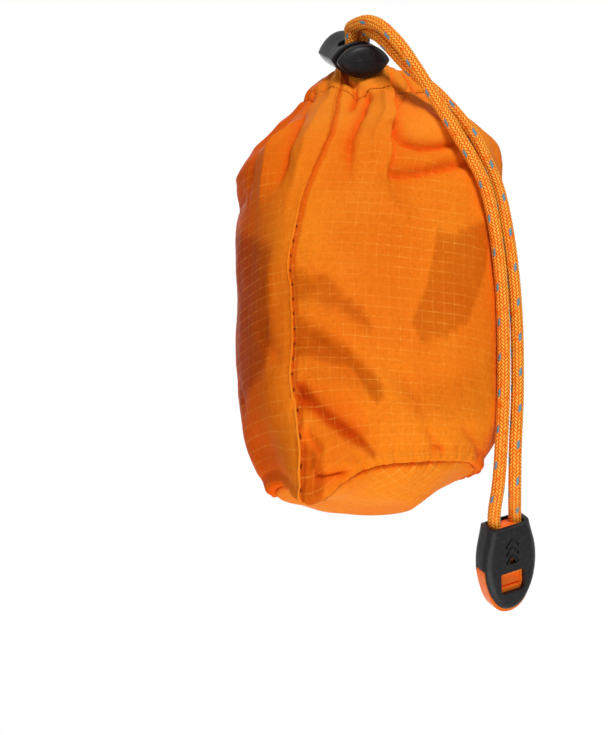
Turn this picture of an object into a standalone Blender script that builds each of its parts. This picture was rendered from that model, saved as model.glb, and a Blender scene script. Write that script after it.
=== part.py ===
"""Emergency sleeping bag, packed: a drawstring stuff sack with its cord lock, cord and whistle.

Millimetres are used for every dimension and scaled once, when a mesh is made.
Z is up, X is right and Y points away from the viewer. The origin is the middle
of the flat part of the sack's base.
"""

import math

import bmesh
import bpy
from mathutils import Matrix, Vector

MM = 0.001

# Cloth and clearances.
CLOTH = 0.8
GAP = 0.35
AROUND = 80
BASE_FLAT_RADIUS = 13.0
SACK_TURN = math.radians(20.0)

# Driving heights: where the shoulder starts and where the ring of the mouth lies.
SHOULDER_BOTTOM = 94.0
RING_HEIGHT = 138.2
NECK = RING_HEIGHT - SHOULDER_BOTTOM

# The sack's outline, bottom to top: height, centre x and y, the half widths
# across and front to back, the squareness of the outline, and how strongly the
# gathers show.
BODY_ROWS = (
    (8.0, 1.5, 0.0, 32.0, 29.4, 2.15, 0.00),
    (11.6, 0.9, 0.0, 34.6, 31.0, 2.25, 0.00),
    (18.0, 0.5, 0.0, 37.6, 32.6, 2.45, 0.00),
    (26.0, 0.0, 0.0, 39.6, 33.6, 2.65, 0.00),
    (40.0, -0.4, 0.0, 40.8, 34.2, 2.80, 0.00),
    (68.0, -0.4, 0.0, 41.1, 34.5, 2.80, 0.00),
    (SHOULDER_BOTTOM, -0.3, 0.0, 41.4, 34.5, 2.80, 0.00),
)

# Above the shoulder the height is a share of the neck's. The last rows dip under
# the hem and close the mouth.
NECK_ROWS = (
    (0.317, 0.2, 0.0, 41.4, 33.2, 2.70, 0.00),
    (0.443, 2.3, 0.0, 40.1, 31.6, 2.55, 0.00),
    (0.566, 4.6, 0.0, 37.4, 28.6, 2.45, 0.00),
    (0.674, 4.5, 0.2, 33.6, 25.6, 2.35, 0.20),
    (0.765, 3.9, 0.4, 30.2, 22.8, 2.20, 0.50),
    (0.837, 2.2, 0.6, 27.0, 20.9, 2.10, 0.80),
    (0.905, 0.5, 0.6, 23.4, 19.2, 2.05, 1.00),
    (0.941, 0.4, 0.4, 20.6, 17.8, 2.00, 0.90),
    (0.882, 0.8, 0.0, 16.0, 14.8, 2.00, 0.20),
    (0.873, 0.8, 0.0, 11.0, 10.0, 2.00, 0.10),
    (0.946, 0.8, 0.0, 6.2, 5.2, 2.00, 0.00),
    (1.041, 0.8, 0.0, 3.6, 2.9, 2.00, 0.00),
)
SACK_ROWS = BODY_ROWS + tuple((SHOULDER_BOTTOM + share * NECK, *rest) for share, *rest in NECK_ROWS)
GATHERS = 11
GATHER_DEPTH = 1.1
NECK_TOP = SHOULDER_BOTTOM + 0.84 * NECK
SEAM_TOP = SHOULDER_BOTTOM + 0.86 * NECK

# The main folds, each a line of (azimuth in degrees, height) points with its half
# width and its depth. A ridge has a negative depth. They are measured on the cloth
# laid flat, and end under the hem.
FOLDS = (
    (((231, 134), (230, 112), (225, 97)), 2.9, 2.1),
    (((216, 134), (209, 112), (206, 102)), 3.2, 1.5),
    (((253, 134), (256, 119)), 2.8, 1.3),
    (((267, 134), (263, 110), (263, 96)), 3.2, 1.5),
    (((284, 122), (286, 112), (298, 108), (322, 113)), 2.8, 2.3),
    (((282, 98), (301, 101), (330, 108)), 2.9, 1.9),
    (((298, 134), (304, 124), (312, 118)), 2.8, 1.6),
    (((314, 134), (336, 114)), 2.9, 1.7),
    (((341, 134), (352, 106)), 3.0, 1.6),
    (((4, 134), (4, 108)), 3.0, 1.7),
    (((28, 134), (25, 101)), 3.1, 1.8),
    (((52, 134), (52, 107)), 3.0, 1.6),
    (((77, 134), (83, 102)), 3.1, 1.9),
    (((102, 134), (108, 106)), 3.0, 1.6),
    (((129, 134), (130, 101)), 3.1, 1.8),
    (((154, 134), (160, 107)), 3.0, 1.6),
    (((181, 134), (182, 103)), 3.0, 1.7),
    (((222, 134), (218, 94)), 3.0, -1.1),
    (((197, 128), (194, 96)), 3.4, -1.3),
    (((272, 128), (270, 96)), 3.0, -1.2),
)
MM_PER_DEGREE = 0.663
FOLD_FADE = 9.0

# The corner where the side seam meets the base hangs down in a soft ear.
EAR_AZIMUTH = math.radians(237.5)
EAR_SPREAD = math.radians(16.5)
EAR_SPREAD_LEFT = math.radians(20.0)
EAR_DROP = 10.4
EAR_PUSH = 4.2
BASE_TILT = 4.2
BASE_TILT_AZIMUTH = math.radians(25.0)

# The pleat that runs down the front from the mouth: proud on its left, deep on its right.
PLEAT_AZIMUTH = math.radians(280.0)
PLEAT_SPREAD = math.radians(4.5)
PLEAT_DEPTH = 1.5
PLEAT_BOTTOM = 94.0
PLEAT_TOP = 116.0

# The hem with its channel, gathered to a ring round the mouth.
MOUTH_X = 0.8
RING_RADIUS_X = 12.8
RING_RADIUS_Y = 11.8
RING_TILT = 1.0
RING_RISE_LEFT = 0.6
HEM_HALF_HEIGHT = 4.3
HEM_HALF_THICKNESS = 3.3
HEM_SLOPE = math.radians(55.0)
HEM_FLUTE = 0.5

# The cord.
CORD_RADIUS = 2.0
CHANNEL_RADIUS = 2.4

# The cord lock: a lens-shaped barrel and plunger. Its own X is the wide axis,
# its own Y runs from the plunger's cap to the closed end, its own Z is the way
# the cord goes through.
LOCK_CENTRE = Vector((-5.4, -15.0, RING_HEIGHT + 6.8))
LOCK_AXIS = Vector((0.335, -0.800, -0.497))
LOCK_WIDE = Vector((0.940, 0.295, 0.1693))
LOCK_HALF_WIDTH = 9.0
LOCK_HALF_HEIGHT = 5.5
LOCK_SLOT_HALF_WIDTH = 5.5
LOCK_SLOT_HALF_LENGTH = 2.4
LOCK_SLOT_Y = -1.0
LOCK_TRAVEL = 3.0
LOCK_CAVITY_END = 9.3
LOCK_STEM_END = 4.0
SPRING_RADIUS = 2.3
STRAND_SIDES = (-1.0, 3.25)

# The whistle that ends the cord. Its own X is its width, its own Y runs from
# the front to the back, its own Z points up at the cord.
WHISTLE_TOP = Vector((42.2, 6.0, -3.4))
WHISTLE_UP = Vector((-0.050, -0.642, 0.765))
WHISTLE_WIDE = Vector((0.881, 0.332, 0.3365))
WHISTLE_HALF_THICKNESS = 4.3
WHISTLE_STRAND = 3.75


def clear_scene():
    for thing in list(bpy.data.objects):
        bpy.data.objects.remove(thing, do_unlink=True)


def material(name, colour, roughness, metallic=0.0):
    made = bpy.data.materials.new(name)
    made.use_nodes = True
    shader = made.node_tree.nodes["Principled BSDF"]
    shader.inputs["Base Color"].default_value = (*colour, 1.0)
    shader.inputs["Roughness"].default_value = roughness
    shader.inputs["Metallic"].default_value = metallic
    return made


def add_object(name, mesh, finish, parent=None, smooth=35.0):
    if smooth > 10.0:
        mesh.shade_smooth()
        mesh.set_sharp_from_angle(angle=math.radians(smooth))
    mesh.materials.append(finish)
    thing = bpy.data.objects.new(name, mesh)
    bpy.context.collection.objects.link(thing)
    if parent is not None:
        thing.parent = parent
    return thing


def loft(name, sections, finish, parent=None, caps=True, loop=False, smooth=35.0):
    """A skin through closed sections of equal count, listed in order."""
    count = len(sections[0])
    mesh = bpy.data.meshes.new(name)
    build = bmesh.new()
    rings = []
    for section in sections:
        rings.append([build.verts.new(Vector(point) * MM) for point in section])
    pairs = list(zip(rings, rings[1:]))
    if loop:
        pairs.append((rings[-1], rings[0]))
    for lower, upper in pairs:
        for index in range(count):
            after = (index + 1) % count
            build.faces.new((lower[index], lower[after], upper[after], upper[index]))
    if caps and not loop:
        build.faces.new(list(reversed(rings[0])))
        build.faces.new(rings[-1])
    if caps or loop:
        bmesh.ops.recalc_face_normals(build, faces=build.faces)
    build.to_mesh(mesh)
    build.free()
    return add_object(name, mesh, finish, parent, smooth)


def prism(name, outline, low, high, finish, parent=None, axis="Y", smooth=5.0):
    """An outline in the other two axes, extruded from low to high."""
    def place(point, depth):
        if axis == "Y":
            return Vector((point[0], depth, point[1]))
        return Vector((point[0], point[1], depth))

    sections = [[place(point, depth) for point in outline] for depth in (low, high)]
    return loft(name, sections, finish, parent, smooth=smooth)


def hide_cutter(thing):
    thing.hide_render = True
    thing.display_type = "WIRE"


def cut(target, cutter, crosses_itself=False):
    hide_cutter(cutter)
    step = target.modifiers.new(cutter.name, "BOOLEAN")
    step.operation = "DIFFERENCE"
    step.solver = "EXACT"
    step.use_self = crosses_itself
    step.object = cutter


def smooth_path(points, steps):
    """A smooth curve through the points, with the given steps between them."""
    points = [Vector(point) for point in points]
    ends = [points[0] * 2 - points[1]] + points + [points[-1] * 2 - points[-2]]
    path = []
    for index in range(1, len(ends) - 2):
        before, start, stop, after = ends[index - 1:index + 3]
        for step in range(steps):
            t = step / steps
            path.append(0.5 * (
                2 * start + (stop - before) * t
                + (2 * before - 5 * start + 4 * stop - after) * t * t
                + (3 * start - before - 3 * stop + after) * t ** 3))
    path.append(points[-1])
    return path


def resample(path, spacing, lead=0.0):
    """The same path with its points an equal distance apart, and a straight lead at each end."""
    lengths = [0.0]
    for start, stop in zip(path, path[1:]):
        lengths.append(lengths[-1] + (stop - start).length)
    count = max(2, round(lengths[-1] / spacing))
    result = []
    index = 0
    wanted_lengths = [lengths[-1] * step / count for step in range(count + 1)]
    if lead:
        wanted_lengths.insert(1, lead)
        wanted_lengths.insert(-1, lengths[-1] - lead)
    for wanted in wanted_lengths:
        while index < len(path) - 2 and lengths[index + 1] < wanted:
            index += 1
        part = (wanted - lengths[index]) / (lengths[index + 1] - lengths[index])
        result.append(path[index].lerp(path[index + 1], min(max(part, 0.0), 1.0)))
    return result


def tube(name, path, radius, finish, resolution=2, parent=None, spacing=5.0, lead=1.2):
    """A round cord or wire with closed ends along the path."""
    curve = bpy.data.curves.new(name, "CURVE")
    curve.dimensions = "3D"
    curve.bevel_depth = radius * MM
    curve.bevel_resolution = resolution
    curve.render_resolution_u = 0
    curve.use_fill_caps = True
    points = resample(path, spacing, lead)
    spline = curve.splines.new("POLY")
    spline.points.add(len(points) - 1)
    for slot, point in zip(spline.points, points):
        slot.co = (*(point * MM), 1.0)
    curve.materials.append(finish)
    thing = bpy.data.objects.new(name, curve)
    bpy.context.collection.objects.link(thing)
    if parent is not None:
        thing.parent = parent
    return thing


def swept_rod(name, path, radius, finish, sides=10, spacing=3.5, parent=None):
    """The same form as a mesh, for a cutter."""
    points = resample(path, spacing)
    side = (points[1] - points[0]).orthogonal().normalized()
    sections = []
    for index, point in enumerate(points):
        ahead = points[min(index + 1, len(points) - 1)]
        behind = points[max(index - 1, 0)]
        along = (ahead - behind).normalized()
        side = (side - along * side.dot(along)).normalized()
        other = along.cross(side)
        section = []
        for step in range(sides):
            turn = 2 * math.pi * step / sides
            section.append(point + (side * math.cos(turn) + other * math.sin(turn)) * radius)
        sections.append(section)
    return loft(name, sections, finish, parent)


def angle_from(azimuth, middle):
    return (azimuth - middle + math.pi) % (2 * math.pi) - math.pi


def bell(distance, spread):
    return math.exp(-(distance / spread) ** 2)


def smooth_step(value, low, high):
    t = min(max((value - low) / (high - low), 0.0), 1.0)
    return t * t * (3 - 2 * t)


def ear_at(azimuth, wider=1.0):
    """How much of the ear shows: it ends soon on its right and runs out slowly on its left."""
    turn = angle_from(azimuth, EAR_AZIMUTH)
    return bell(turn, wider * (EAR_SPREAD if turn > 0 else EAR_SPREAD_LEFT))


def line_distance(across, height, line):
    """How far a place on the flat cloth is from a fold's line, and from its lower end."""
    points = [Vector((azimuth * MM_PER_DEGREE, level)) for azimuth, level in line]
    place = Vector((across, height))
    nearest = math.inf
    for start, stop in zip(points, points[1:]):
        along = stop - start
        part = min(max((place - start).dot(along) / along.length_squared, 0.0), 1.0)
        nearest = min(nearest, (start + along * part - place).length)
    return nearest, (points[-1] - place).length


def fold_depth(azimuth, height, half_x):
    """How far the folds and the pleat draw the cloth in. They end where the hem covers it."""
    shown = smooth_step(half_x, 19.0, 25.0)
    if height < SHOULDER_BOTTOM - FOLD_FADE or not shown:
        return 0.0
    depth = 0.0
    turn = 360.0 * MM_PER_DEGREE
    place = math.degrees(azimuth) * MM_PER_DEGREE
    for line, half_width, deep in FOLDS:
        for across in (place - turn, place, place + turn):
            distance, to_end = line_distance(across, height, line)
            depth += deep * bell(distance, half_width) * smooth_step(to_end, 0.0, FOLD_FADE)
    reach = smooth_step(height, PLEAT_BOTTOM, PLEAT_TOP)
    for side in (-1.0, 1.0):
        aside = angle_from(azimuth, PLEAT_AZIMUTH) - side * PLEAT_SPREAD
        depth += side * PLEAT_DEPTH * reach * bell(aside, PLEAT_SPREAD)
    return depth * shown


def sack_point(azimuth, row, inset=0.0):
    """A point of the sack's outer skin at an azimuth on one of its rows."""
    height, centre_x, centre_y, half_x, half_y, power, gather = row
    local = azimuth - SACK_TURN
    radius = (abs(math.cos(local) / (half_x - inset)) ** power
              + abs(math.sin(local) / (half_y - inset)) ** power) ** (-1.0 / power)
    radius += GATHER_DEPTH * gather * math.cos(GATHERS * azimuth + 0.6)
    radius -= fold_depth(azimuth, height, half_x)
    ear = ear_at(azimuth)
    low = 1.0 - smooth_step(height, 8.0, 33.0)
    radius += EAR_PUSH * bell(angle_from(azimuth, EAR_AZIMUTH), EAR_SPREAD) * low
    drop = EAR_DROP * ear * low ** 1.6 - BASE_TILT * math.cos(azimuth - BASE_TILT_AZIMUTH) * low
    return Vector((centre_x + radius * math.cos(azimuth),
                   centre_y + radius * math.sin(azimuth),
                   height - drop))


def row_at(height):
    """The sack's outline at a height below the mouth, between two of its rows."""
    for low, high in zip(SACK_ROWS, SACK_ROWS[1:]):
        if low[0] <= height <= high[0]:
            part = (height - low[0]) / (high[0] - low[0])
            return tuple(a + (b - a) * part for a, b in zip(low, high))
    return SACK_ROWS[0]


def skin_point(azimuth, height):
    """A point of the faceted skin itself, between two of its rows."""
    rows = body_rows()
    for low, high in zip(rows, rows[1:]):
        if low[0] <= height <= high[0]:
            part = (height - low[0]) / (high[0] - low[0])
            return sack_point(azimuth, low).lerp(sack_point(azimuth, high), part)
    return sack_point(azimuth, rows[0])


def seam_azimuth(height):
    """Where the side seam runs: it leans as it climbs to the mouth."""
    lean = smooth_step(height, 87.0, 115.0) * math.radians(6.0)
    back = smooth_step(height, 119.0, 135.0) * math.radians(9.0)
    low = (1.0 - smooth_step(height, 8.0, 37.0)) * math.radians(3.0)
    return math.radians(234.5) + lean - back + low


def body_rows():
    """The sack's rows, with one more between each two where the folds run."""
    rows = [SACK_ROWS[0]]
    for low, high in zip(SACK_ROWS, SACK_ROWS[1:]):
        if SHOULDER_BOTTOM <= low[0] < high[0] <= NECK_TOP:
            rows.append(tuple((a + b) / 2 for a, b in zip(low, high)))
        rows.append(high)
    return rows


def make_sack_body(finish):
    sections = []
    for row in body_rows():
        sections.append([sack_point(2 * math.pi * step / AROUND, row) for step in range(AROUND)])
    body = loft("sack_body", sections, finish, caps=False)
    shell = body.modifiers.new("cloth", "SOLIDIFY")
    shell.thickness = CLOTH * MM
    shell.offset = -1.0
    shell.use_rim = True
    return body


def make_sack_base(finish):
    """The base panel: from the seam in to a flat middle."""
    rim = [sack_point(2 * math.pi * step / AROUND, SACK_ROWS[0]) for step in range(AROUND)]
    sections = []
    for share in (0.0, 0.12, 0.3, 0.52, 0.76, 1.0):
        section = []
        for step, point in enumerate(rim):
            azimuth = 2 * math.pi * step / AROUND
            flat = Vector((BASE_FLAT_RADIUS * math.cos(azimuth),
                           BASE_FLAT_RADIUS * math.sin(azimuth), 0.0))
            fullness = 0.45 + 0.75 * max(0.0, math.cos(azimuth - BASE_TILT_AZIMUTH))
            place = point.lerp(flat, share)
            ear = ear_at(azimuth, 1.3)
            start = point.z - GAP - 0.9 * CLOTH - 1.3 * ear
            place.z = start * (1.0 - share ** fullness)
            section.append(place)
        sections.append(section)
    mesh = bpy.data.meshes.new("sack_base")
    build = bmesh.new()
    rings = [[build.verts.new(point * MM) for point in section] for section in sections]
    for outer, inner in zip(rings, rings[1:]):
        for index in range(AROUND):
            after = (index + 1) % AROUND
            build.faces.new((outer[after], outer[index], inner[index], inner[after]))
    build.faces.new(list(reversed(rings[-1])))
    build.to_mesh(mesh)
    build.free()
    base = add_object("sack_base", mesh, finish)
    shell = base.modifiers.new("cloth", "SOLIDIFY")
    shell.thickness = CLOTH * MM
    shell.offset = -1.0
    shell.use_rim = True
    return base


def make_side_seam(finish):
    """The felled side seam: a narrow ridge that follows the cloth."""
    sections = []
    first, last = 10.0, SEAM_TOP
    heights = [first] + [row[0] for row in body_rows() if first < row[0] < last] + [last]
    halfway = [(low + high) / 2 for low, high in zip(heights, heights[1:])]
    for height in sorted(heights + halfway):
        azimuth = seam_azimuth(height)
        middle = skin_point(azimuth, height)
        side = skin_point(azimuth + 0.05, height) - skin_point(azimuth - 0.05, height)
        rise = skin_point(azimuth, height + 0.8) - skin_point(azimuth, height - 0.8)
        out = side.cross(rise).normalized()
        section = []
        for across, lift in ((-1.6, 0.45), (-1.4, 0.8), (0.2, 1.0), (0.8, 1.4), (1.4, 1.0), (1.4, 0.45)):
            foot = skin_point(azimuth + across / middle.xy.length, height)
            section.append(foot + out * lift)
        sections.append(section)
    return loft("side_seam", sections, finish)


def make_base_seam(finish):
    """The seam allowance inside the base seam, a bound band round the sack."""
    sections = []
    for step in range(AROUND):
        azimuth = 2 * math.pi * step / AROUND
        outer = sack_point(azimuth, SACK_ROWS[0])
        upper = sack_point(azimuth, SACK_ROWS[1])
        across = Vector((math.cos(azimuth), math.sin(azimuth), 0.0))
        rise = (upper - outer).normalized()
        ear = ear_at(azimuth, 1.3)
        foot = outer - across * (CLOTH + GAP + 0.25) + Vector((0, 0, 1.1 + 1.9 * ear))
        section = []
        for inward, lift in ((0.0, 0.0), (0.0, 3.4), (-0.9, 3.4), (-0.9, 0.0)):
            section.append(foot + across * inward + rise * lift)
        sections.append(section)
    return loft("base_seam_binding", sections, finish, loop=True, smooth=50.0)


def ring_point(azimuth):
    return Vector((MOUTH_X + RING_RADIUS_X * math.cos(azimuth),
                   RING_RADIUS_Y * math.sin(azimuth),
                   RING_HEIGHT + RING_TILT * math.sin(azimuth) - RING_RISE_LEFT * math.cos(azimuth)))


def lock_frame():
    """Columns are the lock's own axes in the sack's frame."""
    axis = LOCK_AXIS.normalized()
    wide = (LOCK_WIDE - axis * LOCK_WIDE.dot(axis)).normalized()
    through = axis.cross(wide).normalized()
    return Matrix((wide, -axis, through)).transposed()


def lock_place(point):
    return LOCK_CENTRE + lock_frame() @ Vector(point)


def whistle_frame():
    up = WHISTLE_UP.normalized()
    wide = (WHISTLE_WIDE - up * WHISTLE_WIDE.dot(up)).normalized()
    back = up.cross(wide).normalized()
    return Matrix((wide, back, up)).transposed()


def whistle_place(point):
    return WHISTLE_TOP + whistle_frame() @ Vector(point)


def loop_route():
    """The drawcord: down through the lock, round the channel, up through the lock."""
    left, right = STRAND_SIDES
    reach = LOCK_HALF_HEIGHT + 0.5
    points = [lock_place((left, LOCK_SLOT_Y, reach)),
              lock_place((left, LOCK_SLOT_Y, 0.0)),
              lock_place((left, LOCK_SLOT_Y, -reach)),
              lock_place((left - 0.5, LOCK_SLOT_Y + 1.0, -reach - 1.9))]
    first = math.radians(218.0)
    last = math.radians(-70.0)
    turns = 16
    for step in range(turns + 1):
        points.append(ring_point(first + (last - first) * step / turns))
    points += [lock_place((right + 1.6, LOCK_SLOT_Y + 0.2, -reach - 3.0)),
               lock_place((right + 0.2, LOCK_SLOT_Y, -reach - 0.6)),
               lock_place((right, LOCK_SLOT_Y, 0.0)),
               lock_place((right, LOCK_SLOT_Y, reach))]
    return smooth_path(points, 6)


def make_hem(finish):
    """The hem: a fluted ring of cloth, bored along the drawcord's route."""
    stations = 60
    around = 10
    sections = []
    for station in range(stations):
        azimuth = 2 * math.pi * station / stations
        centre = ring_point(azimuth)
        out = Vector((math.cos(azimuth), math.sin(azimuth), 0.0))
        up = Vector((0, 0, 1))
        down_slope = out * math.cos(HEM_SLOPE) - up * math.sin(HEM_SLOPE)
        normal = out * math.sin(HEM_SLOPE) + up * math.cos(HEM_SLOPE)
        flute = HEM_FLUTE * (0.5 + 0.5 * math.cos(GATHERS * azimuth + 0.6))
        section = []
        for step in range(around):
            turn = 2 * math.pi * step / around
            section.append(centre
                           + down_slope * (HEM_HALF_HEIGHT + 0.4 * flute) * math.cos(turn)
                           + normal * (HEM_HALF_THICKNESS + flute) * math.sin(turn))
        sections.append(section)
    hem = loft("drawcord_hem", sections, finish, loop=True, smooth=60.0)
    cutter = swept_rod("channel_cutter", loop_route(), CHANNEL_RADIUS, finish)
    cut(hem, cutter, crosses_itself=True)
    return hem


def strand_routes():
    """The two free strands, from the lock over the shoulder to the whistle. They cross once on the way."""
    left, right = STRAND_SIDES
    start = LOCK_HALF_HEIGHT + 0.8
    outer = [lock_place((right, LOCK_SLOT_Y, start)),
             lock_place((right, LOCK_SLOT_Y, start + 1.0)),
             lock_place((right + 0.1, LOCK_SLOT_Y - 0.8, start + 2.2)),
             (2.2, -26.2, RING_HEIGHT + 9.5), (6.0, -28.0, RING_HEIGHT + 4.8),
             (11.1, -27.4, RING_HEIGHT - 0.9), (17.3, -26.1, RING_HEIGHT - 6.7),
             (22.0, -25.8, RING_HEIGHT - 11.1), (27.8, -25.5, 120.4),
             (32.5, -24.4, 114.1), (36.5, -22.6, 106.7), (40.6, -19.4, 97.2),
             (43.4, -16.8, 83.0), (45.2, -13.8, 67.0), (45.8, -12.6, 51.0),
             (45.6, -11.2, 33.0), (44.9, -8.0, 17.5), (44.9, -3.0, 7.0),
             whistle_place((WHISTLE_STRAND, 0.0, 4.4)),
             whistle_place((WHISTLE_STRAND, 0.0, 0.4))]
    inner = [lock_place((left, LOCK_SLOT_Y, start)),
             lock_place((left, LOCK_SLOT_Y, start + 1.2)),
             lock_place((left - 0.1, LOCK_SLOT_Y - 0.4, start + 3.4)),
             (-1.6, -27.2, RING_HEIGHT + 13.8), (2.6, -30.6, RING_HEIGHT + 11.3),
             (6.4, -32.3, RING_HEIGHT + 7.1), (10.3, -32.3, RING_HEIGHT + 2.2),
             (15.2, -31.4, RING_HEIGHT - 5.3), (18.9, -30.3, RING_HEIGHT - 11.3),
             (23.5, -28.8, 119.8), (27.9, -27.2, 112.8), (32.3, -25.3, 105.6),
             (36.3, -23.0, 97.0), (39.0, -19.4, 85.2), (40.8, -16.8, 69.0),
             (41.4, -15.0, 51.0), (41.1, -13.6, 33.0), (40.4, -9.6, 17.5),
             (39.7, -4.0, 6.4),
             whistle_place((-WHISTLE_STRAND, 0.0, 4.4)),
             whistle_place((-WHISTLE_STRAND, 0.0, 0.4))]
    return smooth_path(outer, 8), smooth_path(inner, 8)


def lens_outline(half_width, half_height, count=20):
    """Two arcs that meet in narrow rounded tips."""
    radius = (half_width ** 2 + half_height ** 2) / (2 * half_height)
    sweep = math.asin(half_width / radius)
    half = []
    for step in range(count // 2):
        turn = sweep * (1 - 2 * (step + 0.28) / (count // 2 - 0.44))
        half.append((radius * math.sin(turn), radius * math.cos(turn) - (radius - half_height)))
    return half + [(-x, -z) for x, z in half]


def lens_loft(name, rows, finish, parent, count=20):
    """Lens sections along the lock's own Y: position, scale and how much the upper side rises."""
    sections = []
    for place, scale, crown in rows:
        outline = lens_outline(LOCK_HALF_WIDTH * scale, LOCK_HALF_HEIGHT * scale, count)
        sections.append([Vector((x, place, z * (crown if z > 0 else 1.0))) for x, z in outline])
    return loft(name, sections, finish, parent, smooth=30.0)


def rounded_slot(name, half_width, low, high, reach, finish, parent, centre_x=0.0):
    """A cutter with rounded ends, through along Z."""
    middle = (low + high) / 2
    radius = min((high - low) / 2, 2.2)
    outline = []
    for corner_x, corner_y, start in ((1, 1, 0), (-1, 1, 90), (-1, -1, 180), (1, -1, 270)):
        for step in range(4):
            turn = math.radians(start + 30 * step)
            outline.append((centre_x + corner_x * (half_width - radius) + radius * math.cos(turn),
                            middle + corner_y * ((high - low) / 2 - radius) + radius * math.sin(turn)))
    return prism(name, outline, -reach, reach, finish, parent, axis="Z")


def make_lock(plastic, steel):
    holder = bpy.data.objects.new("lock_frame", None)
    bpy.context.collection.objects.link(holder)
    holder.matrix_world = Matrix.Translation(LOCK_CENTRE * MM) @ lock_frame().to_4x4()

    rows = ((-5.2, 0.97, 1.0), (-5.0, 1.02, 1.0), (-4.0, 1.02, 1.0), (-3.8, 0.965, 1.0),
            (2.0, 0.965, 1.04), (5.0, 0.965, 1.14), (7.6, 0.96, 1.26), (9.4, 0.94, 1.32),
            (10.3, 0.88, 1.30), (10.8, 0.76, 1.2))
    barrel = lens_loft("lock_barrel", rows, plastic, holder)
    cavity = lens_loft("lock_cavity_cutter",
                       ((-8.0, 0.80, 1.0), (LOCK_CAVITY_END, 0.80, 1.0)), plastic, holder)
    cut(barrel, cavity)
    low = LOCK_SLOT_Y - LOCK_SLOT_HALF_LENGTH
    high = LOCK_SLOT_Y + LOCK_SLOT_HALF_LENGTH
    reach = 2 * LOCK_HALF_HEIGHT
    cut(barrel, rounded_slot("lock_slot_cutter", LOCK_SLOT_HALF_WIDTH, low, high, reach,
                             plastic, holder))

    cap = ((-8.6, 0.93, 1.0), (-8.9, 0.985, 1.0), (-10.3, 0.985, 1.0), (-10.7, 0.93, 1.0),
           (-11.3, 0.80, 1.0), (-11.9, 0.45, 1.0))
    plunger = lens_loft("lock_plunger", cap, plastic, holder)
    stem = lens_loft("lock_stem", ((-9.4, 0.755, 1.0), (LOCK_STEM_END - 0.4, 0.755, 1.0),
                                   (LOCK_STEM_END, 0.70, 1.0)), plastic, holder)
    stem.hide_render = True
    stem.display_type = "WIRE"
    union = plunger.modifiers.new("stem", "BOOLEAN")
    union.operation = "UNION"
    union.solver = "EXACT"
    union.object = stem
    cut(plunger, rounded_slot("plunger_slot_cutter", LOCK_SLOT_HALF_WIDTH - 0.25,
                              low - LOCK_TRAVEL, high, reach, plastic, holder))

    turns = 3
    wire = 0.3
    length = LOCK_CAVITY_END - LOCK_STEM_END - 2 * GAP - 2 * wire
    coil = []
    for step in range(turns * 10 + 1):
        turn = 2 * math.pi * step / 10
        coil.append(Vector((SPRING_RADIUS * math.cos(turn),
                            LOCK_STEM_END + GAP + wire + length * step / (turns * 10),
                            SPRING_RADIUS * math.sin(turn))))
    spring = bpy.data.curves.new("lock_spring", "CURVE")
    spring.dimensions = "3D"
    spring.bevel_depth = wire * MM
    spring.bevel_resolution = 1
    spring.render_resolution_u = 0
    spring.use_fill_caps = True
    line = spring.splines.new("POLY")
    line.points.add(len(coil) - 1)
    for slot, point in zip(line.points, coil):
        slot.co = (*(point * MM), 1.0)
    spring.materials.append(steel)
    thing = bpy.data.objects.new("lock_spring", spring)
    bpy.context.collection.objects.link(thing)
    thing.parent = holder


WHISTLE_OUTLINE = ((0.0, 7.2), (-3.5, 7.6), (-8.0, 8.75), (-12.0, 9.25), (-16.0, 9.0),
                   (-20.0, 8.0), (-24.0, 6.3), (-27.0, 4.5), (-29.2, 2.7), (-30.5, 1.0))


def whistle_sides(rows, inset=0.0):
    """The outline's right side from top to bottom, then its left side back up."""
    right = [(half - inset, height) for height, half in rows]
    left = [(-x, height) for x, height in reversed(right)]
    return right + left


def chevron(centre, half_width, rise, width):
    """An upward pointing bent bar."""
    return ((-half_width, centre - rise), (0.0, centre), (half_width, centre - rise),
            (half_width, centre - rise - width), (0.0, centre - width),
            (-half_width, centre - rise - width))


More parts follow.
